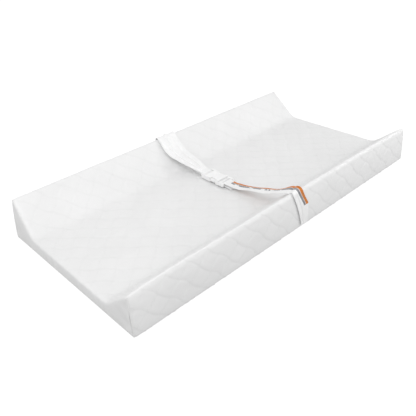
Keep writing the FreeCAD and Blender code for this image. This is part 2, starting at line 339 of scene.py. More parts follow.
def vinyl(name, value, roughness, sewn=0.0):
    """Wipe-clean vinyl. Where the mesh says it is sewn, the colour is painted a little darker as shade in
    the creases and stitch holes.
    """
    finish = Finish(name, grey(value), roughness, Coat_Weight=0.12, Coat_Roughness=0.35)
    broad = finish.noise(14, 2)
    colour = finish.ramp(broad, [(0.3, grey(value - 0.015)), (0.7, grey(value + 0.015))])
    # Painted shade: the colour darkens along the sewn creases and stitch holes, as much as the sewn argument
    # says.
    if sewn:
        line = finish.node("ShaderNodeAttribute", attribute_name="sewn").outputs["Fac"]
        colour = finish.mix(finish.math("POWER", line, 3.0), colour, grey(1 - sewn), "MULTIPLY")
    finish.colour(colour)
    grain = finish.math("ADD", finish.cells(900), finish.math("MULTIPLY", finish.noise(2600, 2), 0.5))
    finish.bump(grain, 0.06 * MM, 0.35)
    return finish.material


# The quilted vinyl carries painted shade along its sewn creases.
QUILTED_VINYL = vinyl("quilted_vinyl", 0.84, 0.42, sewn=0.12)
PLAIN_VINYL = vinyl("plain_vinyl", 0.83, 0.45)


def thread_finish():
    """Matt polyester thread."""
    finish = Finish("white_thread", grey(0.86), 0.55)
    finish.bump(finish.noise(5200, 2), 0.05 * MM, 0.6)
    return finish.material


THREAD = thread_finish()
print("finishes:", [material.name for material in (QUILTED_VINYL, PLAIN_VINYL, THREAD)])

# %% [markdown]
# ## Small helpers for meshes
# Each piece ends as one object at the origin with its place in its mesh. These helpers make a mesh from
# points and faces, smooth it, keep a modifier's result, and hand the finished piece to the frame.

# %% Points, faces and objects


def add_object(name, data):
    made = bpy.data.objects.new(name, data)
    bpy.context.scene.collection.objects.link(made)
    return made


def make_mesh(name, points, faces, edges=()):
    mesh = bpy.data.meshes.new(name)
    mesh.from_pydata([tuple(p) for p in points], edges, faces)
    mesh.update()
    return add_object(name, mesh)


def grid_faces(rows, columns, closed=False):
    """The faces between rows of points. A closed grid joins the last column to the first."""
    last = columns if closed else columns - 1
    faces = []
    for row in range(0, (rows - 1) * columns, columns):
        for k in range(last):
            beside = (k + 1) % columns
            faces.append((row + k, row + beside, row + columns + beside, row + columns + k))
    return faces


def turned(faces):
    """The same four-cornered faces, facing the other way."""
    return [(a, d, c, b) for a, b, c, d in faces]


def coordinates(piece):
    """The points of a piece's mesh, one row each."""
    flat = np.empty(len(piece.data.vertices) * 3)
    piece.data.vertices.foreach_get("co", flat)
    return flat.reshape(-1, 3)


def move_to(piece, points):
    piece.data.vertices.foreach_set("co", np.asarray(points, float).ravel())
    piece.data.update()


print("a grid of 3 by 4 points has", len(grid_faces(3, 4)), "faces")

# %% Modifiers, shading and handing over


def add_modifier(piece, kind, **settings):
    modifier = piece.modifiers.new(kind.lower(), kind)
    for key, value in settings.items():
        setattr(modifier, key, value)
    return modifier


def keep_modifiers(piece):
    """Replace the piece's mesh with what its modifiers make, and take them off."""
    depsgraph = bpy.context.evaluated_depsgraph_get()
    depsgraph.update()
    mesh = bpy.data.meshes.new_from_object(piece.evaluated_get(depsgraph), depsgraph=depsgraph)
    piece.modifiers.clear()
    old = piece.data
    piece.data = mesh
    if old.users == 0:
        bpy.data.meshes.remove(old)
    return piece


def smooth(piece, angle=None):
    """Smooth shading, with a sharp edge wherever two faces meet at more than the angle in degrees."""
    piece.data.shade_smooth()
    if angle is None:
        return
    tree = bmesh.new()
    tree.from_mesh(piece.data)
    for edge in tree.edges:
        edge.smooth = len(edge.link_faces) != 2 or edge.calc_face_angle(0) < math.radians(angle)
    tree.to_mesh(piece.data)
    tree.free()


def face_outwards(piece):
    """Merge doubled points and turn every face outwards."""
    tree = bmesh.new()
    tree.from_mesh(piece.data)
    bmesh.ops.remove_doubles(tree, verts=tree.verts, dist=1e-6)
    bmesh.ops.recalc_face_normals(tree, faces=tree.faces)
    tree.to_mesh(piece.data)
    tree.free()


def wear(piece, material):
    piece.data.materials.clear()
    piece.data.materials.append(material)


def hand_over(piece, body, slot, *nodes):
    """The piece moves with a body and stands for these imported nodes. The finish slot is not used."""
    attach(piece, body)
    if nodes:
        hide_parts(*nodes)
    triangles = sum(len(p.vertices) - 2 for p in piece.data.polygons)
    print(f"{piece.name}: {triangles} triangles on {body}")


# %% [markdown]
# ## The quilting pattern
# The quilting is a lattice of wavy lines, two families that lean 45 degrees each way and cross every 46
# mm. The lines wave to one side and the other between crossings, so the puffs between them are curved
# diamonds. A flat sheet whose own grid follows those lines can be sewn down exactly on them, so the sheet
# is made on the lattice's own coordinates and then trimmed to the panel.

# %% The lattice and its sewn lines
QUILT_PITCH = 46 * MM
QUILT_WAVE = 0.062
QUILT_STEPS = 6


def lattice(first, second, shift):
    """A point of the flat panel from its two lattice coordinates. Whole numbers are sewn lines."""
    a = first - QUILT_WAVE * np.sin(math.pi * second)
    b = second + QUILT_WAVE * np.sin(math.pi * first)
    return (a + b) * QUILT_PITCH / 2 + shift[0], (a - b) * QUILT_PITCH / 2 + shift[1]


def lattice_reach(half_long, low, high, shift):
    """How many lattice lines each way cover a panel."""
    return int((half_long + max(abs(low), abs(high)) + abs(shift[0]) + abs(shift[1])) / QUILT_PITCH) + 2


def lattice_coordinates(x, y, shift):
    """The lattice coordinates of flat points, by a few steps of correction."""
    a = ((x - shift[0]) + (y - shift[1])) / QUILT_PITCH
    b = ((x - shift[0]) - (y - shift[1])) / QUILT_PITCH
    first, second = a.copy(), b.copy()
    for _ in range(12):
        first = a + QUILT_WAVE * np.sin(math.pi * second)
        second = b - QUILT_WAVE * np.sin(math.pi * first)
    return first, second


def quilt_lines(half_long, low, high, shift, margin):
    """The sewn lines inside the panel, each a run of flat points."""
    reach = lattice_reach(half_long, low, high, shift)
    fine = np.arange(-reach, reach, 1 / 16)
    runs = []
    for family in (0, 1):
        for whole in range(-reach, reach + 1):
            fixed = np.full_like(fine, whole)
            pair = (fixed, fine) if family == 0 else (fine, fixed)
            x, y = lattice(*pair, shift)
            inside = (np.abs(x) < half_long - margin) & (y > low + margin) & (y < high - margin)
            changes = np.nonzero(np.diff(inside.astype(int)))[0] + 1
            pieces = np.split(np.arange(len(fine)), changes)
            runs += [np.column_stack([x[k], y[k]]) for k in pieces if inside[k[0]] and len(k) > 3]
    return runs


print(f"{2 * HALF_LENGTH / QUILT_PITCH:.0f} crossings along the pad")

# %% A flat sheet that follows the lattice
MERGE = 0.5 * MM


def lattice_sheet(name, half_long, low, high, shift):
    """A flat sheet on the lattice, trimmed to x within half_long and y from low to high."""
    reach = lattice_reach(half_long, low, high, shift)
    ticks = np.arange(-reach * QUILT_STEPS, reach * QUILT_STEPS + 1)
    first, second = np.meshgrid(ticks / QUILT_STEPS, ticks / QUILT_STEPS, indexing="ij")
    x, y = lattice(first, second, shift)
    margin = QUILT_PITCH / QUILT_STEPS
    inside = (np.abs(x) < half_long + margin) & (y > low - margin) & (y < high + margin)
    whole = inside[:-1, :-1] & inside[1:, :-1] & inside[:-1, 1:] & inside[1:, 1:]
    rows, columns = np.nonzero(whole)
    count = len(ticks)
    number = -np.ones(count * count, int)
    corner = rows * count + columns
    quads = np.column_stack([corner, corner + 1, corner + count + 1, corner + count])
    used = np.unique(quads)
    number[used] = np.arange(len(used))
    points = np.column_stack([x.ravel()[used], y.ravel()[used], np.zeros(len(used))])
    sheet = make_mesh(name, points, number[quads].tolist())
    tree = bmesh.new()
    tree.from_mesh(sheet.data)
    walls = (
        ((half_long, 0, 0), (1, 0, 0)),
        ((-half_long, 0, 0), (-1, 0, 0)),
        ((0, high, 0), (0, 1, 0)),
        ((0, low, 0), (0, -1, 0)),
    )
    for point, outwards in walls:
        everything = tree.verts[:] + tree.edges[:] + tree.faces[:]
        cutting = dict(plane_co=point, plane_no=outwards, clear_outer=True, dist=1e-7)
        bmesh.ops.bisect_plane(tree, geom=everything, **cutting)
    bmesh.ops.remove_doubles(tree, verts=tree.verts, dist=MERGE)
    bmesh.ops.recalc_face_normals(tree, faces=tree.faces)
    if sum(face.normal.z for face in tree.faces) < 0:
        bmesh.ops.reverse_faces(tree, faces=tree.faces)
    tree.to_mesh(sheet.data)
    tree.free()
    return sheet


print(f"the sheet has a point every {1000 * QUILT_PITCH / QUILT_STEPS:.1f} mm")

# %% [markdown]
# ## Puffing the quilting up
# Between the sewn lines the wadding pushes the vinyl out. Cloth simulation does that well: the sheet is
# held along every sewn line and at its edge, made a few percent too large so that it puckers at the
# stitches, and blown up gently with gravity off. A soft limit keeps the puffs as low as thin wadding
# makes them.

# %% Blow a held sheet up with cloth pressure
CLOTH_FRAMES = 20
SIDEWAYS = 0.6 * MM


def puff(sheet, held, pressure, excess, limit):
    """Heights and sideways shifts of a flat sheet after pressure, softly limited."""
    start = coordinates(sheet)
    group = sheet.vertex_groups.new(name="held")
    group.add([int(k) for k in np.nonzero(held)[0]], 1.0, "REPLACE")
    cloth = sheet.modifiers.new("cloth", "CLOTH")
    settings = cloth.settings
    settings.vertex_group_mass = "held"
    settings.quality = 5
    settings.mass = 0.2
    settings.tension_stiffness = 12
    settings.compression_stiffness = 12
    settings.shear_stiffness = 4
    settings.bending_stiffness = 0.05
    settings.shrink_min = -excess
    settings.use_pressure = True
    settings.uniform_pressure_force = pressure
    settings.effector_weights.gravity = 0
    cloth.point_cache.frame_start = 1
    cloth.point_cache.frame_end = CLOTH_FRAMES
    for step in range(1, CLOTH_FRAMES + 1):
        bpy.context.scene.frame_set(step)
    depsgraph = bpy.context.evaluated_depsgraph_get()
    blown = coordinates(sheet.evaluated_get(depsgraph))
    sheet.modifiers.clear()
    bpy.context.scene.frame_set(1)
    moved = blown - start
    print(f"{sheet.name}: raw rise {1000 * np.abs(moved[:, 2]).max():.1f} mm")
    moved[:, 2] = limit * np.tanh(moved[:, 2] / limit)
    moved[:, :2] = np.clip(moved[:, :2], -SIDEWAYS, SIDEWAYS)
    return start + moved


print(f"each held sheet is blown up over {CLOTH_FRAMES} frames")


# %% [markdown]
# ## The three quilted panels
# The top panel runs from one crest to the other and the side panels from the crests to the hem. Each is
# made flat, puffed, laid on the section and given its thickness. The belt presses the puffs under it
# down, and every edge dips into its seam.

# %% Where each panel lies, and what presses on it
SEAM_DIP = 1.3 * MM
SEAM_WIDE = 2.2 * MM
BELT_PRESS = 0.75
FAR_BELT = (-11 * MM, 34 * MM)
NEAR_BELT = (4 * MM, 22 * MM)
NEAR_BELT_LOW = 16 * MM
PANELS = {
    "cover_side_near": (middle - HEM_REACH, middle - TOP_REACH, (-8 * MM, 0.0)),
    "cover_top": (middle - TOP_REACH, middle + TOP_REACH, (0.0, 0.0)),
    "cover_side_far": (middle + TOP_REACH, middle + HEM_REACH, (10 * MM, 0.0)),
}
PANEL_NODES = {
    "cover_side_near": "cover_side_panel_near",
    "cover_top": "cover_top_panel",
    "cover_side_far": "cover_side_panel_far",
}
SIDE_BULGE = 3.0 * MM
HEM_FLAT, HEM_FADE = 14 * MM, 16 * MM


def side_bulge(along):
    """How far a side stands out between its crest and its hem."""
    share = (np.abs(along - middle) - TOP_REACH) / (HEM_REACH - TOP_REACH)
    return SIDE_BULGE * np.sin(math.pi * np.clip(share, 0, 1))


def belt_press(x, along):
    """How much of a puff is left under the belt."""
    over = np.abs(along - middle)
    far_side = along > middle
    centre = np.where(far_side, FAR_BELT[0], np.where(over > TOP_REACH, NEAR_BELT_LOW, NEAR_BELT[0]))
    half = np.where(far_side, FAR_BELT[1], NEAR_BELT[1])
    covered = (over > TOP_REACH - 55 * MM) * (far_side | (over > TOP_REACH - 14 * MM))
    near_edge = np.clip((half + 5 * MM - np.abs(x - centre)) / (8 * MM), 0, 1)
    return 1 - BELT_PRESS * covered * near_edge


def lay_on_pad(flat, start, panel):
    """Flat panel points onto the pad, with seam dips and the sides' soft bulge."""
    low, high, _ = PANELS[panel]
    x, along, height = flat[:, 0], start + flat[:, 1], flat[:, 2].copy()
    height *= belt_press(x, along)
    hem = middle - np.abs(along - middle) - HEM_FLAT
    height *= np.clip(hem / HEM_FADE, 0, 1) if panel != "cover_top" else 1
    edge = np.minimum(np.minimum(along - low, high - along), HALF_LENGTH - np.abs(x))
    height -= SEAM_DIP * np.exp(-np.maximum(edge, 0) / SEAM_WIDE)
    height += side_bulge(along)
    return settle(on_section(x, along, height))


for name, (low, high, _) in PANELS.items():
    print(f"{name}: {1000 * (high - low):.0f} mm of the section")

# %% Sew, puff and lay the three panels
SEWN = 0.02
CREASE = 0.85
PUFF_SHARE = 0.5
PUFF_PRESSURE, PUFF_EXCESS, PUFF_LIMIT = 4.0, 0.03, 3.4 * MM
# How much painted shade darkens the sewn creases of each panel. The second family of lines gets less of it,
# because the light leaves the first family's creases looking darker.
PAINTED_CREASE_SHADE = {"cover_side_near": 0.85, "cover_top": 0.6, "cover_side_far": 0.85}
SECOND_FAMILY_SHADE = 0.6
PLUMP = (0.8, 0.45)


def mark_creases(sheet, on_first, on_second):
    """Keep the sewn lines sharp when the sheet is subdivided, and mark them for the vinyl's painted crease
    shade.
    """
    ends = np.empty(len(sheet.data.edges) * 2, int)
    sheet.data.edges.foreach_get("vertices", ends)
    a, b = ends.reshape(-1, 2).T
    sewn = (on_first[a] & on_first[b]) | (on_second[a] & on_second[b])
    crease = sheet.data.attributes.new("crease_edge", "FLOAT", "EDGE")
    crease.data.foreach_set("value", (sewn * CREASE).astype(np.float32))
    line = sheet.data.attributes.new("sewn", "FLOAT", "POINT")
    shade = PAINTED_CREASE_SHADE[sheet.name] * np.maximum(on_first, SECOND_FAMILY_SHADE * on_second)
    line.data.foreach_set("value", shade.astype(np.float32))


def quilted_panel(name):
    """One quilted panel, still a single surface."""
    low, high, shift = PANELS[name]
    half = (high - low) / 2
    centre = (low + high) / 2
    sheet = lattice_sheet(name, HALF_LENGTH, -half, half, shift)
    flat = coordinates(sheet)
    first, second = lattice_coordinates(flat[:, 0], flat[:, 1], shift)
    on_first, on_second = (np.abs(v - np.round(v)) < SEWN for v in (first, second))
    edge = (np.abs(flat[:, 0]) > HALF_LENGTH - MM) | (np.abs(flat[:, 1]) > half - MM)
    held = on_first | on_second | edge
    blown = puff(sheet, held, PUFF_PRESSURE, PUFF_EXCESS, PUFF_LIMIT)
    plump = [PLUMP[0] + PLUMP[1] * noise.noise(Vector((x * 21, y * 21, 0))) for x, y in flat[:, :2]]
    blown[:, 2] *= PUFF_SHARE * np.array(plump)
    mark_creases(sheet, on_first, on_second)
    move_to(sheet, lay_on_pad(blown, centre, name))
    add_modifier(sheet, "SUBSURF", levels=1, render_levels=1)
    keep_modifiers(sheet)
    smooth(sheet)
    return sheet


quilted = {name: quilted_panel(name) for name in PANELS}
surfaces = {}
for name, piece in quilted.items():
    depsgraph = bpy.context.evaluated_depsgraph_get()
    surfaces[name] = BVHTree.FromObject(piece, depsgraph)
    add_modifier(piece, "SOLIDIFY", thickness=SKIN, offset=-1)
    keep_modifiers(piece)
    smooth(piece, 60)
    wear(piece, QUILTED_VINYL)
    hand_over(piece, "pad", "quilted_vinyl", PANEL_NODES[name])

# %% [markdown]
# ## The plain end panels
# Each end is one plain piece cut to the pad's profile. It is held along its seam and bulges slightly
# where the foam presses on it. Its grid has upright columns, so that every column ends on the profile.

# %% Make an end panel
END_COLUMNS = 96
END_ROWS = 14
END_SLACK = 0.45
END_PRESSURE, END_EXCESS, END_LIMIT = 1.6, 0.02, 3.5 * MM
END_STEP = 1.2 * MM


def end_outline():
    """The profile of the end seam: Y of each column, and the Z of its top."""
    along = np.linspace(middle - TOP_REACH, middle + TOP_REACH, 4000)
    y, z, out_y, out_z = section.at(along)
    inner_y, inner_z = y - END_RADIUS * out_y, z - END_RADIUS * out_z
    order = np.argsort(inner_y)
    return inner_y[order], inner_z[order]


outline_y, outline_z = end_outline()


def end_panel(name, end):
    """One plain end, at the left (-1) or at the right (1)."""
    half = HALF_WIDTH - END_RADIUS - 1.5 * MM
    columns = half * np.sin(np.linspace(-1, 1, END_COLUMNS + 1) * math.pi / 2)
    columns = 0.5 * columns + 0.5 * np.linspace(-half, half, END_COLUMNS + 1)
    rows = np.linspace(0, 1, END_ROWS + 1)
    top = np.interp(columns, outline_y, outline_z)
    bottom = UNDERSIDE + END_RADIUS
    y, share = np.meshgrid(columns, rows, indexing="ij")
    z = bottom + share * (top[:, None] - bottom)
    flat = np.column_stack([y.ravel(), z.ravel(), np.zeros(y.size)])
    sheet = make_mesh(name, flat, turned(grid_faces(END_COLUMNS + 1, END_ROWS + 1)))
    share_flat, column = share.ravel(), np.repeat(np.arange(END_COLUMNS + 1), END_ROWS + 1)
    held = (share_flat < 0.01) | (share_flat > 0.99) | (column == 0) | (column == END_COLUMNS)
    blown = puff(sheet, held, END_PRESSURE, END_EXCESS, END_LIMIT)
    edge_near = np.minimum(np.minimum(blown[:, 1] - bottom, half - np.abs(blown[:, 0])), 40 * MM)
    top_gap = np.interp(blown[:, 0], columns, top) - blown[:, 1]
    edge_near = np.maximum(np.minimum(edge_near, top_gap), 0)
    out = END_SLACK * blown[:, 2] + END_STEP * (0.5 - np.exp(-edge_near / (2 * MM)))
    points = np.column_stack([end * (HALF_LENGTH + out), blown[:, 0], blown[:, 1]])
    move_to(sheet, settle(points))
    add_modifier(sheet, "SUBSURF", levels=1, render_levels=1)
    add_modifier(sheet, "SOLIDIFY", thickness=SKIN, offset=-1 if end > 0 else 1)
    keep_modifiers(sheet)
    face_outwards(sheet)
    smooth(sheet, 60)
    wear(sheet, PLAIN_VINYL)
    hand_over(sheet, "pad", "plain_vinyl", name.replace("end_", "end_panel_"))


end_panel("cover_end_left", -1)
end_panel("cover_end_right", 1)

# %% [markdown]
# ## The corner seams
# Where an end panel meets a side panel, the two edges are sewn together inside out and stand up as a
# narrow ridge that fades out at the crest and at the hem.

# %% Sew the corners
RIDGE_SIDES = 8
RIDGE_STEPS = 28
RIDGE_OUT, RIDGE_ACROSS = 1.7 * MM, 0.8 * MM
RIDGE_SUNK = 1.0 * MM


def corner_ridge(end, side):
    """The points of one ridge, ring after ring."""
    reach = np.linspace(TOP_REACH + 2 * MM, HEM_REACH - 4 * MM, RIDGE_STEPS)
    y, z, out_y, out_z = section.at(middle + side * reach)
    share = np.linspace(0, 1, RIDGE_STEPS)
    gathered = np.array([noise.noise(Vector((60 * s, 5 * end, 5 * side))) for s in share])
    size = 0.25 + 0.75 * np.sin(math.pi * share) ** 0.5 + 0.25 * gathered
    rings = []
    for angle in np.linspace(0, 2 * math.pi, RIDGE_SIDES, endpoint=False):
        out, across = RIDGE_OUT * math.cos(angle), RIDGE_ACROSS * math.sin(angle)
        along_x = (out - across) / math.sqrt(2) * size - RIDGE_SUNK
        along_y = (out + across) / math.sqrt(2) * size - RIDGE_SUNK
        x = end * (HALF_LENGTH + along_x)
        rings.append(np.column_stack([x, y + along_y * out_y, z + along_y * out_z]))
    return settle(np.stack(rings, axis=1).reshape(-1, 3))


def corner_seams():
    """The four ridges as one piece."""
    points, faces = [], []
    for end in (-1, 1):
        for side in (-1, 1):
            first = sum(len(part) for part in points)
            points.append(corner_ridge(end, side))
            ridge = grid_faces(RIDGE_STEPS, RIDGE_SIDES, closed=True)
            faces += [tuple(first + corner for corner in face) for face in ridge]
            last = first + (RIDGE_STEPS - 1) * RIDGE_SIDES
            faces += [tuple(range(first, first + RIDGE_SIDES)), tuple(range(last, last + RIDGE_SIDES))]
    seams = make_mesh("corner_seams", np.vstack(points), faces)
    face_outwards(seams)
    add_modifier(seams, "SUBSURF", levels=1, render_levels=1)
    keep_modifiers(seams)
    smooth(seams)
    wear(seams, PLAIN_VINYL)
    hand_over(seams, "pad", "plain_vinyl")


corner_seams()

# %% [markdown]
# ## Stitches by Geometry Nodes
# A quilting stitch is a short piece of thread that dips into the vinyl every few millimetres. Thousands
# of them follow the sewn lines, which is what Geometry Nodes do best: the tree turns each line into a
# curve, puts points along it, and sets one small spindle of thread on every point.

# %% A small solid, and a node tree that sets it on points


def spun(name, rings, sides):
    """A small solid turned about Z, from rings of a height and a radius."""
    turns = [TAU * k / sides for k in range(sides)]
    points = [(r * math.cos(turn), r * math.sin(turn), z) for z, r in rings for turn in turns]
    faces = grid_faces(len(rings), sides, closed=True)
    faces += [tuple(range(sides))[::-1], tuple(range(len(points) - sides, len(points)))]
    made = make_mesh(name, points, faces)
    face_outwards(made)
    smooth(made)
    return made


def placing_tree(name, along_lines):
    """A node tree that sets a shape at a pitch along lines, or on every point of a mesh."""
    tree = bpy.data.node_groups.new(name, "GeometryNodeTree")
    sockets = {"Geometry": "Geometry", "Shape": "Object", "Size": "Vector", "Finish": "Material"}
    if along_lines:
        sockets["Pitch"] = "Float"
    for socket, kind in sockets.items():
        tree.interface.new_socket(socket, in_out="INPUT", socket_type=f"NodeSocket{kind}")
    tree.interface.new_socket("Geometry", in_out="OUTPUT", socket_type="NodeSocketGeometry")
    nodes, link = tree.nodes, tree.links.new
    start, end = nodes.new("NodeGroupInput"), nodes.new("NodeGroupOutput")
    place = nodes.new("GeometryNodeInstanceOnPoints")
    if along_lines:
        curve = nodes.new("GeometryNodeMeshToCurve")
        points = nodes.new("GeometryNodeCurveToPoints")
        points.mode = "LENGTH"
        link(start.outputs["Geometry"], curve.inputs["Mesh"])
        link(curve.outputs["Curve"], points.inputs["Curve"])
        link(start.outputs["Pitch"], points.inputs["Length"])
        link(points.outputs["Rotation"], place.inputs["Rotation"])
    else:
        points = nodes.new("GeometryNodeMeshToPoints")
        link(start.outputs["Geometry"], points.inputs["Mesh"])
    shape = nodes.new("GeometryNodeObjectInfo")
    real = nodes.new("GeometryNodeRealizeInstances")
    finish = nodes.new("GeometryNodeSetMaterial")
    link(start.outputs["Shape"], shape.inputs["Object"])
    link(points.outputs["Points"], place.inputs["Points"])
    link(shape.outputs["Geometry"], place.inputs["Instance"])
    link(start.outputs["Size"], place.inputs["Scale"])
    link(place.outputs["Instances"], real.inputs["Geometry"])
    link(real.outputs["Geometry"], finish.inputs["Geometry"])
    link(start.outputs["Finish"], finish.inputs["Material"])
    link(finish.outputs["Geometry"], end.inputs["Geometry"])
    return tree


def node_piece(name, base, tree, **inputs):
    """Run a node tree on a mesh and keep what it makes as a plain mesh."""
    modifier = base.modifiers.new("nodes", "NODES")
    modifier.node_group = tree
    for item in tree.interface.items_tree:
        key = item.name.lower()
        if item.in_out == "INPUT" and key in inputs:
            modifier[item.identifier] = inputs[key]
    base.name = name
    return keep_modifiers(base)


# A stitch is a millimetre long and about a millimetre thick before it is scaled.
STITCH_SHAPE = spun("stitch_shape", ((-0.5, 0.12), (-0.3, 0.42), (0.3, 0.42), (0.5, 0.12)), 5)
STITCH_TREE = placing_tree("stitches_along_lines", along_lines=True)
print("one stitch has", len(STITCH_SHAPE.data.polygons), "faces")

# %% Stitch the quilting
STITCH_PITCH = 4.6 * MM
STITCH_SIZE = (0.55 * MM, 0.55 * MM, 3.5 * MM)
THREAD_LIFT = 0.1 * MM
QUILT_MARGIN = 8 * MM


def stitches(name, body, slot, runs):
    """Stitches along runs of points, as one piece on a body."""
    points, edges = [], []
    for run in runs:
        edges += [(len(points) + k, len(points) + k + 1) for k in range(len(run) - 1)]
        points += [tuple(p) for p in run]
    base = make_mesh(name, points, [], edges)
    inputs = dict(shape=STITCH_SHAPE, pitch=STITCH_PITCH, size=STITCH_SIZE, finish=THREAD)
    piece = node_piece(name, base, STITCH_TREE, **inputs)
    smooth(piece)
    hand_over(piece, body, slot)


def dropped_on(surface, points, lift):
    """Points moved to the nearest place on a surface and lifted off it."""
    moved = []
    for point in points:
        place, normal, _, _ = surface.find_nearest(Vector(point))
        moved.append(place + lift * normal)
    return moved


for name, (low, high, shift) in PANELS.items():
    half, centre = (high - low) / 2, (high + low) / 2
    runs = []
    for line in quilt_lines(HALF_LENGTH, -half, half, shift, QUILT_MARGIN):
        flat = np.column_stack([line, np.zeros(len(line))])
        runs.append(dropped_on(surfaces[name], lay_on_pad(flat, centre, name), THREAD_LIFT))
    stitches(name.replace("cover", "quilting"), "pad", "quilted_vinyl", runs)

# %% [markdown]
# ## The core
# Inside the cover lie a foam slab, two foam bolsters that make the raised sides, and thin wadding behind
# the quilting. They follow the same section as the cover, a little further in, so each is a closed
# outline of the section drawn along the pad. Cut foam has open cells and wadding is a mat of fibres.

# %% Foam and wadding finishes


def foam_finish():
    """Cut foam with open cells."""
    finish = Finish("cut_foam", (0.80, 0.77, 0.66), 0.95)
    cells = finish.cells(700)
    finish.colour(finish.ramp(cells, [(0.0, (0.62, 0.58, 0.46)), (0.25, (0.82, 0.79, 0.69))]))
    finish.bump(cells, 0.5 * MM, 0.7)
    return finish.material


def wadding_finish():
    """A mat of fibres, drawn out along the pad."""
    finish = Finish("polyester_wadding", grey(0.88), 1.0, Sheen_Weight=0.4)
    stretched = finish.node("ShaderNodeMapping")
    stretched.inputs["Scale"].default_value = (60, 900, 900)
    finish.link(finish.place, stretched.inputs["Vector"])
    fibres = finish.noise(1.0, 6, stretched.outputs["Vector"])
    finish.colour(finish.ramp(fibres, [(0.3, grey(0.74)), (0.7, grey(0.92))]))
    finish.bump(fibres, 0.4 * MM, 0.8)
    return finish.material


FOAM, WADDING = foam_finish(), wadding_finish()
print("inside:", FOAM.name, "and", WADDING.name)

# %% Make the pieces of the core
CORE_STATIONS = 49
CORE_END = HALF_LENGTH - SKIN - 1.6 * MM
WADDING_THICK = panel_low.z - slab_high.z
COVER_INSET = SKIN + 0.5 * MM
FOAM_INSET = COVER_INSET + 3 * MM


def inset_corners(depth):
    """The seat middle, slope foot, crest and hem corners of the section, moved inwards by a depth."""
    foot, crest, hem = (np.array(half_section[k]) for k in (1, 2, 3))
    slope, side = unit(crest - foot), unit(hem - crest)
    slope_in = np.array([slope[1], -slope[0]]) * depth
    side_in = np.array([side[1], -side[0]]) * depth
    rise = ((SEAT - depth) - (foot + slope_in)[1]) / slope[1]
    low_foot = foot + slope_in + rise * slope
    reach = np.linalg.solve(np.column_stack([slope, -side]), (crest + side_in) - (foot + slope_in))
    return np.array([(0, SEAT - depth), low_foot, foot + slope_in + reach[0] * slope, hem + side_in])


def along_pad(name, outline, finish, slot, fill, *nodes):
    """A closed Y-Z outline drawn along the pad, with its ends closed."""
    stations = np.linspace(-CORE_END, CORE_END, CORE_STATIONS)
    count = len(outline)
    points = np.vstack([np.column_stack([np.full(count, x), outline]) for x in stations])
    faces = grid_faces(CORE_STATIONS, count, closed=True)
    faces += [tuple(range(count)), tuple(range(count * (CORE_STATIONS - 1), count * CORE_STATIONS))]
    piece = make_mesh(name, settle(points), faces)
    face_outwards(piece)
    smooth(piece, 40)
    wear(piece, finish)
    hand_over(piece, "pad", slot, *nodes)


def on_side(outline, side):
    return np.array(outline) * (side, 1)


slab_top = SEAT - FOAM_INSET - 0.4 * MM
_, foam_foot, foam_crest, foam_hem = inset_corners(FOAM_INSET)
slab_side = foam_hem[0] - MM
slab_bottom = BASE + 0.2 * MM
slab = [(-slab_side, slab_bottom), (slab_side, slab_bottom), (slab_side, slab_top), (-slab_side, slab_top)]
along_pad("foam_slab", np.array(slab), FOAM, "foam", 1.0, "foam_base_slab")
bolster_corners = [foam_foot + (6 * MM, 0), foam_crest, (slab_side, slab_top + 0.3 * MM)]
bolster = rounded(bolster_corners, [3 * MM], 0.8 * MM)
outer, inner = inset_corners(COVER_INSET), inset_corners(COVER_INSET + 0.8 * WADDING_THICK)
CLEAR_OF_CREST = 11 * MM
CLEAR_OF_HEM = 14 * MM


def short_of(end, start, distance):
    """A point on the way from start to end, stopping a distance before it."""
    return end + unit(start - end) * distance


side_batt = [
    short_of(outer[2], outer[3], CLEAR_OF_CREST),
    short_of(outer[3], outer[2], CLEAR_OF_HEM),
    short_of(inner[3], inner[2], CLEAR_OF_HEM),
    short_of(inner[2], inner[3], CLEAR_OF_CREST * 0.6),
]
for side, name in ((-1, "near"), (1, "far")):
    along_pad(f"bolster_{name}", on_side(bolster, side), FOAM, "foam", 1.0, f"foam_bolster_{name}")
    along_pad(f"wadding_{name}", on_side(side_batt, side), WADDING, "wadding", 0.6, f"wadding_side_{name}")
upper = [short_of(outer[2], outer[1], CLEAR_OF_CREST), outer[1]]
lower = [inner[1], short_of(inner[2], inner[1], CLEAR_OF_CREST * 0.6)]
top_batt = [*upper, *on_side(upper[::-1], -1), *on_side(lower[::-1], -1), *lower]
along_pad("wadding_seat", np.array(top_batt), WADDING, "wadding", 0.6, "wadding_top")

# %% [markdown]
# ## The gripping base
# The underside is a plain cloth with small soft dots that keep the pad from sliding. It is a thin plate
# with two pockets for the furniture anchors, and the dots are set out by Geometry Nodes on a staggered
# grid.

# %% Base panel with pockets


def block(name, low, high):
    """A box between two corners."""
    (x0, y0, z0), (x1, y1, z1) = low, high
    points = [(x, y, z) for z in (z0, z1) for y in (y0, y1) for x in (x0, x1)]
    faces = [(0, 2, 3, 1), (4, 5, 7, 6), (0, 1, 5, 4), (2, 6, 7, 3), (0, 4, 6, 2), (1, 3, 7, 5)]
    return make_mesh(name, points, faces)


def cut(piece, *tools):
    """Take tools away from a piece and remove them."""
    for tool in tools:
        add_modifier(piece, "BOOLEAN", operation="DIFFERENCE", object=tool, solver="EXACT")
        keep_modifiers(piece)
        bpy.data.objects.remove(tool)
    return piece


def grip_finish():
    finish = Finish("grip_cloth", (0.78, 0.78, 0.76), 0.8)
    weave = finish.node("ShaderNodeTexWave", bands_direction="DIAGONAL")
    weave.inputs["Scale"].default_value = 500
    weave.inputs["Distortion"].default_value = 1.5
    finish.link(finish.place, weave.inputs["Vector"])
    finish.colour(finish.ramp(weave.outputs["Fac"], [(0.2, grey(0.66)), (0.8, grey(0.8))]))
    finish.bump(weave.outputs["Fac"], 0.12 * MM, 0.7)
    return finish.material


def dot_finish():
    finish = Finish("grip_dots", (0.74, 0.75, 0.75), 0.35)
    finish.bump(finish.noise(1500, 3), 0.05 * MM, 0.4)
    return finish.material


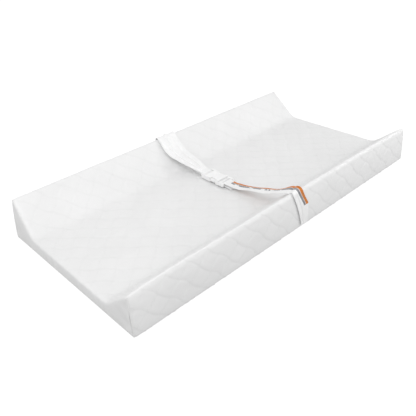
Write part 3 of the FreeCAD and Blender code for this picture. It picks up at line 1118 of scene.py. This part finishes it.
GRIP, DOTS = grip_finish(), dot_finish()
BASE_END, BASE_SIDE = HALF_LENGTH - 2.6 * MM, HALF_WIDTH - 6 * MM
BASE_LOW = 0.5 * MM
tab_low, tab_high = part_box("anchor_tab_right")
POCKET_GAP = 3 * MM
pockets = [
    (
        (end * (tab_low.x + tab_high.x) / 2 - (tab_high.x - tab_low.x) / 2 - POCKET_GAP, tab_low.y - 4 * MM),
        (end * (tab_low.x + tab_high.x) / 2 + (tab_high.x - tab_low.x) / 2 + POCKET_GAP, HALF_WIDTH + MM),
    )
    for end in (-1, 1)
]
base = block("base_panel", (-BASE_END, -BASE_SIDE, BASE_LOW), (BASE_END, BASE_SIDE, BASE - 0.1 * MM))
cut(base, *[block("pocket", (*low, -MM), (*high, 2.6 * MM)) for low, high in pockets])
add_modifier(base, "BEVEL", width=0.6 * MM, segments=2, limit_method="ANGLE")
keep_modifiers(base)
for vertex in base.data.vertices:
    vertex.co.x = settle([vertex.co])[0][0]
smooth(base, 40)
wear(base, GRIP)
hand_over(base, "pad", "grip_backing", "cover_base_panel")

# %% Dots on the base
DOT_PITCH = 13 * MM
DOT_RADIUS = 2.2 * MM
CLEAR = 3 * MM


def dot_places():
    """A staggered grid that keeps clear of the pockets."""
    columns = int(BASE_END / DOT_PITCH) - 1
    rows = int(BASE_SIDE / (DOT_PITCH / 2)) - 2
    for j in range(-rows, rows + 1):
        for i in range(-columns, columns + 1):
            x, y = (i + 0.5 * (j % 2)) * DOT_PITCH, j * DOT_PITCH * 0.5
            if not any(low[0] - CLEAR < x < high[0] + CLEAR and y > low[1] - CLEAR for low, high in pockets):
                yield x, y, BASE_LOW


DOT_SHAPE = spun("dot_shape", ((0.0, 1.0), (-0.55, 0.86), (-1.0, 0.45)), 7)
dot_inputs = dict(shape=DOT_SHAPE, size=(DOT_RADIUS, DOT_RADIUS, BASE_LOW), finish=DOTS)
dot_points = make_mesh("dots", list(dot_places()), [])
grip_dots = node_piece("grip_dots", dot_points, placing_tree("grip_dots", along_lines=False), **dot_inputs)
hand_over(grip_dots, "pad", "grip_backing")

# %% [markdown]
# ## The belt
# Each half of the belt is one strip of soft white webbing, sewn to the outer side of the pad, laid over
# the crest and looped round a bar of the buckle. A strip is a grid of points that follows a path in the
# Y-Z plane. At every step it has its own middle and width, and a fold function that lifts it across its
# width. The strip also carries an attribute that says how far each point is across, along and in from its
# right edge, for the weave and the stripes.

# %% Webbing finishes
ORANGE_INK = [(0.35, (0.45, 0.115, 0.008)), (0.65, (0.75, 0.235, 0.02))]
GREY_INK = [(0.35, (0.15, 0.15, 0.16)), (0.65, (0.34, 0.34, 0.36))]
ORANGE_STARTS, ORANGE_ENDS, ORANGE_WIDENS = 0.6 * MM, 6.6 * MM, 1.6 * MM
GREY_STARTS, GREY_ENDS = 0.5 * MM, 6.4 * MM
STRIPE_SOFT = 0.4 * MM
RIB, PICK = 1.1 * MM, 0.7 * MM


def webbing_finish(name, stripes=None):
    """Woven white webbing. stripes says at which runs the stripes start, widen and end."""
    finish = Finish(name, grey(0.9), 0.75, Sheen_Weight=0.15)
    own = finish.node("ShaderNodeAttribute", attribute_name="weave").outputs["Vector"]
    split = finish.node("ShaderNodeSeparateXYZ")
    finish.link(own, split.inputs["Vector"])
    across, along, inwards = split.outputs
    ribs = finish.math("SINE", finish.math("MULTIPLY", across, TAU / RIB))
    picks = finish.math("SINE", finish.math("MULTIPLY", along, TAU / PICK))
    cloth = finish.math("ADD", finish.math("MULTIPLY", ribs, 0.6), finish.math("MULTIPLY", picks, 0.4))
    worn = finish.noise(60, 3)
    colour = finish.ramp(worn, [(0.3, grey(0.88)), (0.7, grey(0.93))])

    def between(value, low, high, soft):
        """One where low < value < high, with soft ends."""
        up = finish.math("DIVIDE", finish.math("SUBTRACT", value, low), soft, clamp=True)
        down = finish.math("DIVIDE", finish.math("SUBTRACT", high, value), soft, clamp=True)
        return finish.math("MULTIPLY", up, down)

    def printed(under, mask, ink):
        """Ink over the webbing, a little uneven."""
        return finish.mix(mask, under, finish.ramp(finish.noise(420, 4), ink))

    if stripes:
        begins, widens, ends = stripes
        ragged = finish.math("MULTIPLY", finish.noise(260, 3), 0.9 * MM)
        edge = finish.math("ADD", inwards, ragged)
        late = between(along, widens, 1.0, 20 * MM)
        width = finish.math("ADD", finish.math("MULTIPLY", late, ORANGE_WIDENS), ORANGE_ENDS)
        here = between(along, begins, ends, 1.2 * MM)
        orange = finish.math("MULTIPLY", between(edge, ORANGE_STARTS, width, STRIPE_SOFT), here)
        second = finish.math("SUBTRACT", edge, width)
        broken = finish.math("GREATER_THAN", finish.noise(55, 2), 0.4)
        band = between(second, GREY_STARTS, GREY_ENDS, STRIPE_SOFT)
        grey_mask = finish.math("MULTIPLY", band, here)
        grey_mask = finish.math("MULTIPLY", grey_mask, broken)
        colour = printed(colour, grey_mask, GREY_INK)
        colour = printed(colour, orange, ORANGE_INK)
    finish.colour(colour)
    finish.bump(cloth, 0.09 * MM, 0.7)
    return finish.material


WEBBING = webbing_finish("white_webbing")
print("webbing finish:", WEBBING.name)

# %% A strip along a path
WEB_THICK = 1.3 * MM
LOOP_RADIUS = 2.7 * MM
WEB_LIFT = 1.9 * MM
LOOK_AHEAD = 1.5 * MM


class Path:
    """A Y-Z path, its running length, and the lengths at which its parts begin."""

    def __init__(self, *parts):
        self.points = np.vstack(parts)
        steps = np.linalg.norm(np.diff(self.points, axis=0), axis=1)
        self.run = np.concatenate([[0], np.cumsum(steps)])
        starts = np.cumsum([0] + [len(p) for p in parts[:-1]])
        self.marks = [*self.run[starts], self.run[-1]]

    def place(self, run):
        return [np.interp(run, self.run, self.points[:, k]) for k in (0, 1)]

    def at(self, run):
        """The place at a running length, and the direction out of the strip's upper face."""
        y, z = self.place(run)
        ahead, behind = self.place(run + LOOK_AHEAD), self.place(run - LOOK_AHEAD)
        ty, tz = ahead[0] - behind[0], ahead[1] - behind[1]
        size = np.hypot(ty, tz)
        return y, z, tz / size, -ty / size


def strip(name, path, reach, centre, half, fold, finish, columns=30, step=2.4 * MM):
    """Webbing along part of a path. Centre and half are (runs, sizes), and fold gives a height."""
    stations = np.linspace(*reach, max(3, int((reach[1] - reach[0]) / step)))
    shares = np.linspace(-1, 1, columns + 1)
    run, share = (v.ravel() for v in np.meshgrid(stations, shares, indexing="ij"))
    y, z, out_y, out_z = path.at(run)
    middle_x, wide = np.interp(run, *centre), np.interp(run, *half)
    lift = fold(run, share)
    points = np.column_stack([middle_x + share * wide, y + lift * out_y, z + lift * out_z])
    piece = make_mesh(name, points, grid_faces(len(stations), columns + 1))
    weave = piece.data.attributes.new("weave", "FLOAT_VECTOR", "POINT")
    values = np.column_stack([share * wide, run, (1 - share) * wide])
    weave.data.foreach_set("vector", values.astype(np.float32).ravel())
    add_modifier(piece, "SOLIDIFY", thickness=WEB_THICK, offset=0)
    rounding = dict(limit_method="ANGLE", angle_limit=math.radians(60))
    add_modifier(piece, "BEVEL", width=0.35 * MM, segments=2, **rounding)
    keep_modifiers(piece)
    face_outwards(piece)
    smooth(piece, 60)
    wear(piece, finish)
    return piece


def loop(bar_y, bar_z, side):
    """Points round a buckle bar. side is +1 where the strip leaves towards +Y."""
    turn = np.linspace(-math.pi / 2, math.pi / 2, 24)
    return np.column_stack([bar_y - side * LOOP_RADIUS * np.cos(turn), bar_z + LOOP_RADIUS * np.sin(turn)])


def over_pad(from_along, to_along):
    """Points a webbing's lift above the cover."""
    along = np.linspace(from_along, to_along, int(abs(to_along - from_along) / (0.8 * MM)))
    y, z, out_y, out_z = section.at(along)
    lift = WEB_LIFT + side_bulge(along)
    return np.column_stack([y + lift * out_y, z + lift * out_z])


print(f"webbing {1000 * WEB_THICK:.1f} mm thick, looped at a radius of {1000 * LOOP_RADIUS:.1f} mm")


# %% [markdown]
# ## The far half
# The far half is wide and soft. It lies over the crest with one fold down its middle, and is gathered to
# less than half its width at the bar of the socket, so small pleats grow towards the buckle. The part
# that is sewn to the side stays with the pad.

# %% The far half's path and widths
socket_low, socket_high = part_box("buckle_socket")
BAR_Z = (socket_low.z + socket_high.z) / 2
FAR_BAR_Y = socket_high.y - 3 * MM
PATH_END = middle - 21 * MM
far_loop = loop(FAR_BAR_Y, BAR_Z, 1)
far_under = [(FAR_BAR_Y + 24 * MM, 39.6 * MM), (FAR_BAR_Y + 10 * MM, 38.2 * MM)]
far_tail = rounded([*far_under, tuple(far_loop[0])], [20 * MM])
far_over = [(70 * MM, 43.3 * MM), (120 * MM, 52.0 * MM), (150 * MM, 57.5 * MM), (166 * MM, 68.4 * MM)]
far_free = rounded([tuple(far_loop[-1]), *far_over], [20 * MM, 90 * MM, 22 * MM])
far_start = along_at(168 * MM)
far_path = Path(far_tail, far_loop, far_free, over_pad(far_start, middle + PATH_END))
_, loop_run, free_run, laid_run, far_run_end = far_path.marks
crest_run = laid_run + outermost - far_start
far_centre = (
    [0, loop_run, free_run + 40 * MM, free_run + 90 * MM, laid_run, crest_run, far_run_end],
    [v * MM for v in (0, 0, -3.0, -6.0, -7.3, -4.8, -7)],
)
pleated = [free_run + v * MM for v in (12, 50, 90)]
far_half = (
    [0, loop_run, *pleated, laid_run, crest_run, far_run_end],
    [v * MM for v in (12.2, 12.4, 14.0, 22.5, 27.5, 28.3, 25.8, 19)],
)


print(f"the far half is {1000 * far_run_end:.0f} mm long and passes the crest at {1000 * crest_run:.0f} mm")

# %% Build the far half


def far_fold(run, share):
    """The far half's folds: a valley at the crest, pleats towards the buckle, and edges that droop."""
    slack = np.clip((crest_run - run) / (crest_run - free_run), 0, 1)
    free = np.clip((run - free_run) / (10 * MM), 0, 1)
    valley = -3.2 * MM * np.exp(-(((share - 0.05) / 0.09) ** 2)) * np.exp(-((slack / 0.42) ** 2))
    lobes = 1.5 * MM * np.cos(3 * math.pi * (share + 0.06)) * np.sin(math.pi * np.clip(slack, 0, 1)) ** 0.6
    pleats = 1.5 * MM * np.cos(4 * math.pi * share + 0.6) * slack**2 * free
    droop = -5.5 * MM * np.clip(-share, 0, 1) ** 3 * np.sin(math.pi * np.clip(slack * 1.02, 0, 1))
    edge = -1.2 * MM * np.abs(share) ** 7 * free
    return (valley + lobes + pleats + droop + edge) * (run < crest_run + 20 * MM)


SIDE_RUN = crest_run + 18 * MM
far_look = (far_centre, far_half, far_fold, WEBBING)
far_belt = strip("belt_far_half", far_path, (0, SIDE_RUN), *far_look, columns=44)
far_side = strip("belt_far_sewn", far_path, (SIDE_RUN, far_run_end), *far_look)
hand_over(far_side, "pad", "webbing", "belt_side_far")

# %% Bake its place and hide the imported run
PAST_BEND, BEFORE_BEND = 14 * MM, 12 * MM


def bend(piece, slot, from_body, to_body, start, end, *nodes):
    """Bake the piece's place into its mesh and hide the imported nodes it stands for."""
    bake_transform(piece)
    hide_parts(*nodes)
    print(f"{piece.name}: bends between {from_body} and {to_body}")


def place_on(path, run):
    """The Y-Z place of one running length."""
    y, z, _, _ = path.at(np.array([run]))
    return float(y[0]), float(z[0])


far_start_bend = place_on(far_path, crest_run + PAST_BEND)
far_end_bend = place_on(far_path, crest_run - BEFORE_BEND)
bend(far_belt, "webbing", "pad", "belt_far", far_start_bend, far_end_bend, "belt_run_far")

# %% [markdown]
# ## The near half
# The near half is narrower. It leaves the bar of the plug, hangs just over the seat and rises nearly
# straight to the crest, where it turns and is sewn slantwise down the side with a tuck. Its loose part
# crosses two joints, so it is made as two pieces, split some way before the crest.

# %% The near half's path and widths
plug_low, plug_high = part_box("buckle_plug")
NEAR_BAR_Y = plug_low.y + 5 * MM
near_loop = loop(NEAR_BAR_Y, BAR_Z, -1)
near_under = [(NEAR_BAR_Y - 26 * MM, 34.9 * MM), (NEAR_BAR_Y - 10 * MM, 36.6 * MM)]
near_tail = rounded([*near_under, tuple(near_loop[0])], [20 * MM])
near_over = [(-28 * MM, 41.2 * MM), (-54 * MM, 44.6 * MM), (-134 * MM, 67.4 * MM), (-188 * MM, 89.6 * MM)]
near_free = rounded([tuple(near_loop[-1]), *near_over], [30 * MM, 50 * MM, 160 * MM])
near_start = along_at(-191 * MM)
near_path = Path(near_tail, near_loop, near_free, over_pad(near_start, middle - PATH_END))
_, _, near_free_run, near_laid_run, near_end = near_path.marks
near_crest_run = near_laid_run + near_start - (2 * middle - outermost)
near_runs = [0, near_free_run, near_free_run + 60 * MM, near_crest_run, near_crest_run + 8 * MM]
near_runs += [near_crest_run + 42 * MM, near_end]
near_centre = (near_runs, [v * MM for v in (0, 0, 2.0, 1.6, 1.6, 16.5, 25)])
near_half = (near_runs, [v * MM for v in (12.3, 12.4, 10.6, 12.3, 13.6, 16.5, 9.5)])
stripe_runs = (near_free_run + 13 * MM, near_crest_run - 15 * MM, near_crest_run + 44 * MM)
STRIPED = webbing_finish("striped_webbing", stripe_runs)
print("the stripes start, widen and end at", [round(1000 * run) for run in stripe_runs], "mm")

# %% Build the near half
ARCH = 5 * MM


def near_fold(run, share):
    """The near half's soft wave, and the tuck where it is sewn to the side."""
    free = np.clip((run - near_free_run) / (25 * MM), 0, 1)
    wave = 0.9 * MM * np.sin(TAU * run / (74 * MM) + 1.2) * share
    hanging = np.clip((run - near_free_run) / (near_crest_run - near_free_run), 0, 1)
    cup = -1.1 * MM * share**2 * np.sin(math.pi * hanging)
    down = np.clip((run - near_crest_run - 6 * MM) / (30 * MM), 0, 1)
    tuck = -2.2 * MM * np.exp(-(((share + 0.42) / 0.14) ** 2)) * down
    raised = np.clip(0.5 + 0.5 * share, 0, 1)
    arch = ARCH * np.exp(-(((run - near_crest_run + 14 * MM) / (26 * MM)) ** 2)) * raised
    return (wave * 0.8 + cup) * free * (1 - down) + tuck + arch + 0.9 * MM * down


NEAR_SIDE_RUN = near_crest_run + 18 * MM
NEAR_SPLIT = near_crest_run - 52 * MM
near_parts = {
    "belt_near_half": (0, NEAR_SPLIT),
    "belt_near_crest": (NEAR_SPLIT, NEAR_SIDE_RUN),
    "belt_near_sewn": (NEAR_SIDE_RUN, near_end),
}
for name, reach in near_parts.items():
    strip(name, near_path, reach, near_centre, near_half, near_fold, STRIPED)
near_run_piece, near_crest_piece, near_side_piece = (bpy.data.objects[name] for name in near_parts)
hand_over(near_side_piece, "pad", "webbing", "belt_side_near")
crest_start = place_on(near_path, near_crest_run + PAST_BEND)
crest_end = place_on(near_path, near_crest_run - BEFORE_BEND)
bend(near_crest_piece, "webbing", "pad", "belt_near", crest_start, crest_end, "belt_run_near")
pull_start = place_on(near_path, NEAR_SPLIT - 6 * MM)
pull_end = place_on(near_path, near_free_run + 8 * MM)
bend(near_run_piece, "webbing", "belt_near", "plug", pull_start, pull_end, "belt_run_near")

# %% [markdown]
# ## Stitching on the belt
# The belt is held at the foot of each side by rows of stitches across it, and the far half has a row
# along each edge.

# %% Rows of stitches on the belt


def rows_on(path, centre, half, fold, lines):
    """Runs of points on top of a strip, each from a list of (run, share) pairs."""
    for line in lines:
        run, share = (np.array(v) for v in zip(*line))
        y, z, out_y, out_z = path.at(run)
        lift = fold(run, share) + WEB_THICK / 2 + THREAD_LIFT
        x = np.interp(run, *centre) + share * np.interp(run, *half)
        yield np.column_stack([x, y + lift * out_y, z + lift * out_z])


def across(run, reach=0.86):
    return [(run, share) for share in np.linspace(-reach, reach, 24)]


def edge_line(start, end, share):
    return [(run, share) for run in np.linspace(start, end, 60)]


far_rows = [across(far_run_end - v * MM) for v in (3, 6)]
far_rows += [edge_line(SIDE_RUN + 2 * MM, far_run_end - 6 * MM, v) for v in (-0.92, 0.92)]
near_rows = [across(near_end - v * MM) for v in (3, 6)]
far_thread = rows_on(far_path, far_centre, far_half, far_fold, far_rows)
near_thread = rows_on(near_path, near_centre, near_half, near_fold, near_rows)
stitches("far_side_stitching", "pad", "webbing", far_thread)
stitches("near_side_stitching", "pad", "webbing", near_thread)

# %% [markdown]
# ## The buckle
# The buckle is moulded in satin white plastic: a flat socket with a window in each side, and a plug whose
# two sprung arms show in those windows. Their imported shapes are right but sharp, and moulded parts never
# are. So each is copied, its loose triangles are merged into whole faces, and its edges are rounded. Then
# come small moulded details.

# %% Moulded plastic and steel


def moulded_finish():
    """Satin white plastic."""
    finish = Finish("white_moulding", grey(0.93), 0.28, Coat_Weight=0.2, Coat_Roughness=0.2)
    finish.shader.inputs["Subsurface Weight"].default_value = 0.05
    finish.shader.inputs["Subsurface Radius"].default_value = (MM, MM, MM)
    finish.colour(finish.ramp(finish.noise(180, 3), [(0.3, grey(0.91)), (0.7, grey(0.95))]))
    finish.bump(finish.noise(2400, 2), 0.03 * MM, 0.4)
    return finish.material


def steel_finish():
    finish = Finish("plated_steel", grey(0.62), 0.3, Metallic=1.0)
    finish.colour(finish.ramp(finish.noise(500, 4), [(0.3, grey(0.52)), (0.7, grey(0.68))]))
    finish.bump(finish.noise(1800, 3), 0.02 * MM, 0.5)
    return finish.material


MOULDING, STEEL = moulded_finish(), steel_finish()
ROUNDED_ANGLE = math.radians(35)
print("hard parts:", MOULDING.name, "and", STEEL.name)

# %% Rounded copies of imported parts


def merged_copy(name, node):
    """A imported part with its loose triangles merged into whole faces."""
    piece = add_object(name, bpy.data.objects[node].data.copy())
    piece.data.transform(bpy.data.objects[node].matrix_world)
    tree = bmesh.new()
    tree.from_mesh(piece.data)
    bmesh.ops.remove_doubles(tree, verts=tree.verts, dist=1e-5)
    bmesh.ops.dissolve_limit(tree, angle_limit=math.radians(1), verts=tree.verts, edges=tree.edges)
    bmesh.ops.recalc_face_normals(tree, faces=tree.faces)
    tree.to_mesh(piece.data)
    tree.free()
    return piece


def moulded(name, node, body, width, finish, slot, cutters=(), extras=()):
    """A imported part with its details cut, its edges rounded and raised details added."""
    piece = merged_copy(name, node)
    cut(piece, *cutters)
    add_modifier(piece, "BEVEL", width=width, segments=3, limit_method="ANGLE", angle_limit=ROUNDED_ANGLE)
    keep_modifiers(piece)
    for extra in extras:
        add_modifier(extra, "BEVEL", width=0.35 * MM, segments=2, limit_method="ANGLE")
        keep_modifiers(extra)
    together(piece, extras)
    smooth(piece, 38)
    wear(piece, finish)
    hand_over(piece, body, slot, node)


def together(piece, extras):
    """Put the meshes of the extras into the piece's mesh."""
    tree = bmesh.new()
    tree.from_mesh(piece.data)
    for extra in extras:
        tree.from_mesh(extra.data)
        bpy.data.objects.remove(extra)
    tree.to_mesh(piece.data)
    tree.free()


# %% Build the buckle


def between_planes(name, across, along, up):
    """A box from its lowest and highest X, Y and Z, in any order."""
    low, high = zip(*(sorted(pair) for pair in (across, along, up)))
    return block(name, low, high)


socket_top, plug_top = socket_high.z, plug_high.z
panel_up = (socket_top - 0.5 * MM, socket_top + 2 * MM)
panel_cut = between_planes("panel", (-10 * MM, 10 * MM), (19 * MM, 39 * MM), panel_up)
groove_up = (plug_top - 2.2 * MM, plug_top + MM)
groove = between_planes("groove", (-20 * MM, 20 * MM), (1.8 * MM, 4.4 * MM), groove_up)
window_up = (socket_low.z - MM, socket_top + MM)
window_across = [(side * 12.6 * MM, side * 20 * MM) for side in (-1, 1)]
windows = [between_planes("window", across_x, (12 * MM, 29 * MM), window_up) for across_x in window_across]
lip_across = (socket_low.x + 1.5 * MM, socket_high.x - 1.5 * MM)
lip_up = (socket_top - 0.5 * MM, socket_top + 0.6 * MM)
lip = [between_planes("lip", lip_across, (5.2 * MM, 8.4 * MM), lip_up)]
socket_cuts = [panel_cut, *windows]
moulded("socket_body", "buckle_socket", "belt_far", 0.9 * MM, MOULDING, "buckle_plastic", socket_cuts, lip)
grip_up = (plug_top - 0.5 * MM, plug_top + 0.5 * MM)
grips = [between_planes("grip", (-9 * MM, 9 * MM), (y * MM, (y + 1.1) * MM), grip_up) for y in (-2.4, -0.4)]
web_up = (plug_low.z + MM, plug_top - 0.6 * MM)
grips.append(between_planes("web", (-13 * MM, 13 * MM), (-2.9 * MM, 0.9 * MM), web_up))
moulded("plug_body", "buckle_plug", "plug", 0.6 * MM, MOULDING, "buckle_plastic", [groove], grips)
for side, name in ((-1, "left"), (1, "right")):
    arm_low, arm_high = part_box(f"buckle_arm_{name}")
    outer = arm_high.x if side > 0 else arm_low.x
    rib_across = (outer - side * MM, outer + side * 0.35 * MM)
    rib_up = (arm_low.z + 0.7 * MM, arm_high.z - 0.7 * MM)
    rib_along = [(y * MM, (y + 1.0) * MM) for y in (16, 18.4, 20.8, 23.2)]
    ribs = [between_planes("rib", rib_across, along_y, rib_up) for along_y in rib_along]
    arm = f"arm_{name}"
    moulded(f"{arm}_body", f"buckle_{arm}", arm, 0.5 * MM, MOULDING, "buckle_plastic", (), ribs)

# %% [markdown]
# ## The furniture anchors
# A short tab of webbing folds out from under each end of the far side. Each holds a plated eyelet for a
# screw. The tab is sewn to the base with a crossed box of stitches.

# %% Build the anchors
BOX_INSET = 2 * MM
BOX_FROM_HINGE, BOX_END = 7 * MM, 24 * MM
for name in ("left", "right"):
    low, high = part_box(f"anchor_tab_{name}")
    body = f"anchor_{name}"
    tab = merged_copy(f"tab_{name}", f"anchor_tab_{name}")
    add_modifier(tab, "BEVEL", width=0.4 * MM, segments=3, limit_method="ANGLE", angle_limit=ROUNDED_ANGLE)
    keep_modifiers(tab)
    smooth(tab, 38)
    wear(tab, WEBBING)
    weave = tab.data.attributes.new("weave", "FLOAT_VECTOR", "POINT")
    weave.data.foreach_set("vector", coordinates(tab).astype(np.float32).ravel())
    hand_over(tab, body, "webbing", f"anchor_tab_{name}")
    moulded(f"eyelet_{name}", f"anchor_eyelet_{name}", body, 0.25 * MM, STEEL, "eyelet_steel")
    x0, x1 = low.x + BOX_INSET, high.x - BOX_INSET
    y0, y1 = high.y - BOX_END, high.y - BOX_FROM_HINGE
    box_and_cross = [[(x0, y0), (x1, y0), (x1, y1), (x0, y1), (x0, y0), (x1, y1)], [(x1, y0), (x0, y1)]]
    runs = [[(x, y, low.z - THREAD_LIFT / 2) for x, y in line] for line in box_and_cross]
    stitches(f"tab_stitching_{name}", body, "webbing", runs)

for shape in (STITCH_SHAPE, DOT_SHAPE):
    bpy.data.objects.remove(shape)

# %% [markdown]
# ## Stage, light and camera
# A pale floor, a bright even room and two large soft lights give the clean, nearly shadowless look of a
# shop picture.

# %% Floor and backdrop


def shining(name, corners, faces):
    """Part of the stage that shines by itself and neither lights the pad nor shows in it."""
    part = make_mesh(name, corners, faces)
    finish = Finish(name, grey(0.05), 0.9)
    finish.shader.inputs["Emission Color"].default_value = (1, 1, 1, 1)
    finish.shader.inputs["Emission Strength"].default_value = 1.0
    wear(part, finish.material)
    part.visible_diffuse = False
    part.visible_glossy = False
    part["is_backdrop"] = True
    print(f"{name}: {len(faces)} shining faces")
    return part


def floor_and_backdrop():
    """A pale floor on which no shadow falls, and pale walls far round it."""
    half, ground, top = 6.0, -0.4 * MM, 5.0
    base = [(-half, -half), (half, -half), (half, half), (-half, half)]
    corners = [(x, y, z) for z in (ground, top) for x, y in base]
    shining("floor", corners[:4], [(0, 1, 2, 3)])
    walls = [(i, (i + 1) % 4, 4 + (i + 1) % 4, 4 + i) for i in range(4)]
    shining("backdrop", corners, walls).visible_shadow = False


floor_and_backdrop()

# %% World and lights
WORLD_ABOVE, WORLD_BELOW = 0.76, 0.5
FADE_LOW, FADE_HIGH = -0.4, -0.08


def room():
    """Bright down to just under eye level, and dimmer below, where a dull table would be."""
    world = bpy.data.worlds.new("bright_room")
    world.use_nodes = True
    nodes, links = world.node_tree.nodes, world.node_tree.links
    place = nodes.new("ShaderNodeTexCoord")
    split = nodes.new("ShaderNodeSeparateXYZ")
    ramp = nodes.new("ShaderNodeMapRange")
    fade = {"From Min": FADE_LOW, "From Max": FADE_HIGH, "To Min": WORLD_BELOW, "To Max": WORLD_ABOVE}
    for key, value in fade.items():
        ramp.inputs[key].default_value = value
    links.new(place.outputs["Generated"], split.inputs["Vector"])
    links.new(split.outputs["Z"], ramp.inputs["Value"])
    links.new(ramp.outputs["Result"], nodes["Background"].inputs["Strength"])
    nodes["Background"].inputs["Color"].default_value = (1, 1, 1, 1)
    bpy.context.scene.world = world


def area_light(name, place, size, power):
    light = bpy.data.lights.new(name, "AREA")
    light.size = size
    light.energy = power
    lamp = add_object(name, light)
    lamp.location = place
    lamp.rotation_euler = (-Vector(place)).to_track_quat("-Z", "Y").to_euler()
    print(f"{name}: {power} W, {size} m wide")


room()
area_light("key_light", (-1.3, -0.87, 2.1), 1.8, 20.5)
area_light("side_light", (1.5, -1.5, 0.4), 0.9, 9.5)

# %% Camera
CAMERA_PLACE = Vector((-0.6824, -0.7041, 0.6032))
CAMERA_AIM = Vector((-0.0609, -0.0082, 0.0))
CAMERA_ROLL = math.radians(-3.02)
SENSOR, FOCAL_LENGTH = 36, 43.2
lens = bpy.data.cameras.new("camera")
lens.sensor_width = SENSOR
lens.lens = FOCAL_LENGTH
camera = add_object("camera", lens)
camera.location = CAMERA_PLACE
camera.rotation_mode = "QUATERNION"
facing = (CAMERA_AIM - CAMERA_PLACE).to_track_quat("-Z", "Y")
camera.rotation_quaternion = facing @ Quaternion((0, 0, 1), CAMERA_ROLL)
bpy.context.scene.camera = camera
bpy.context.scene.view_settings.view_transform = "Standard"
print(f"the camera looks from {1000 * (CAMERA_PLACE - CAMERA_AIM).length:.0f} mm")

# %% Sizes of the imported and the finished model
boxes = {"cad": cad_bounds, "visual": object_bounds()}
{key: [list(corner) for corner in pair] for key, pair in boxes.items()}
print("boxes:", boxes)
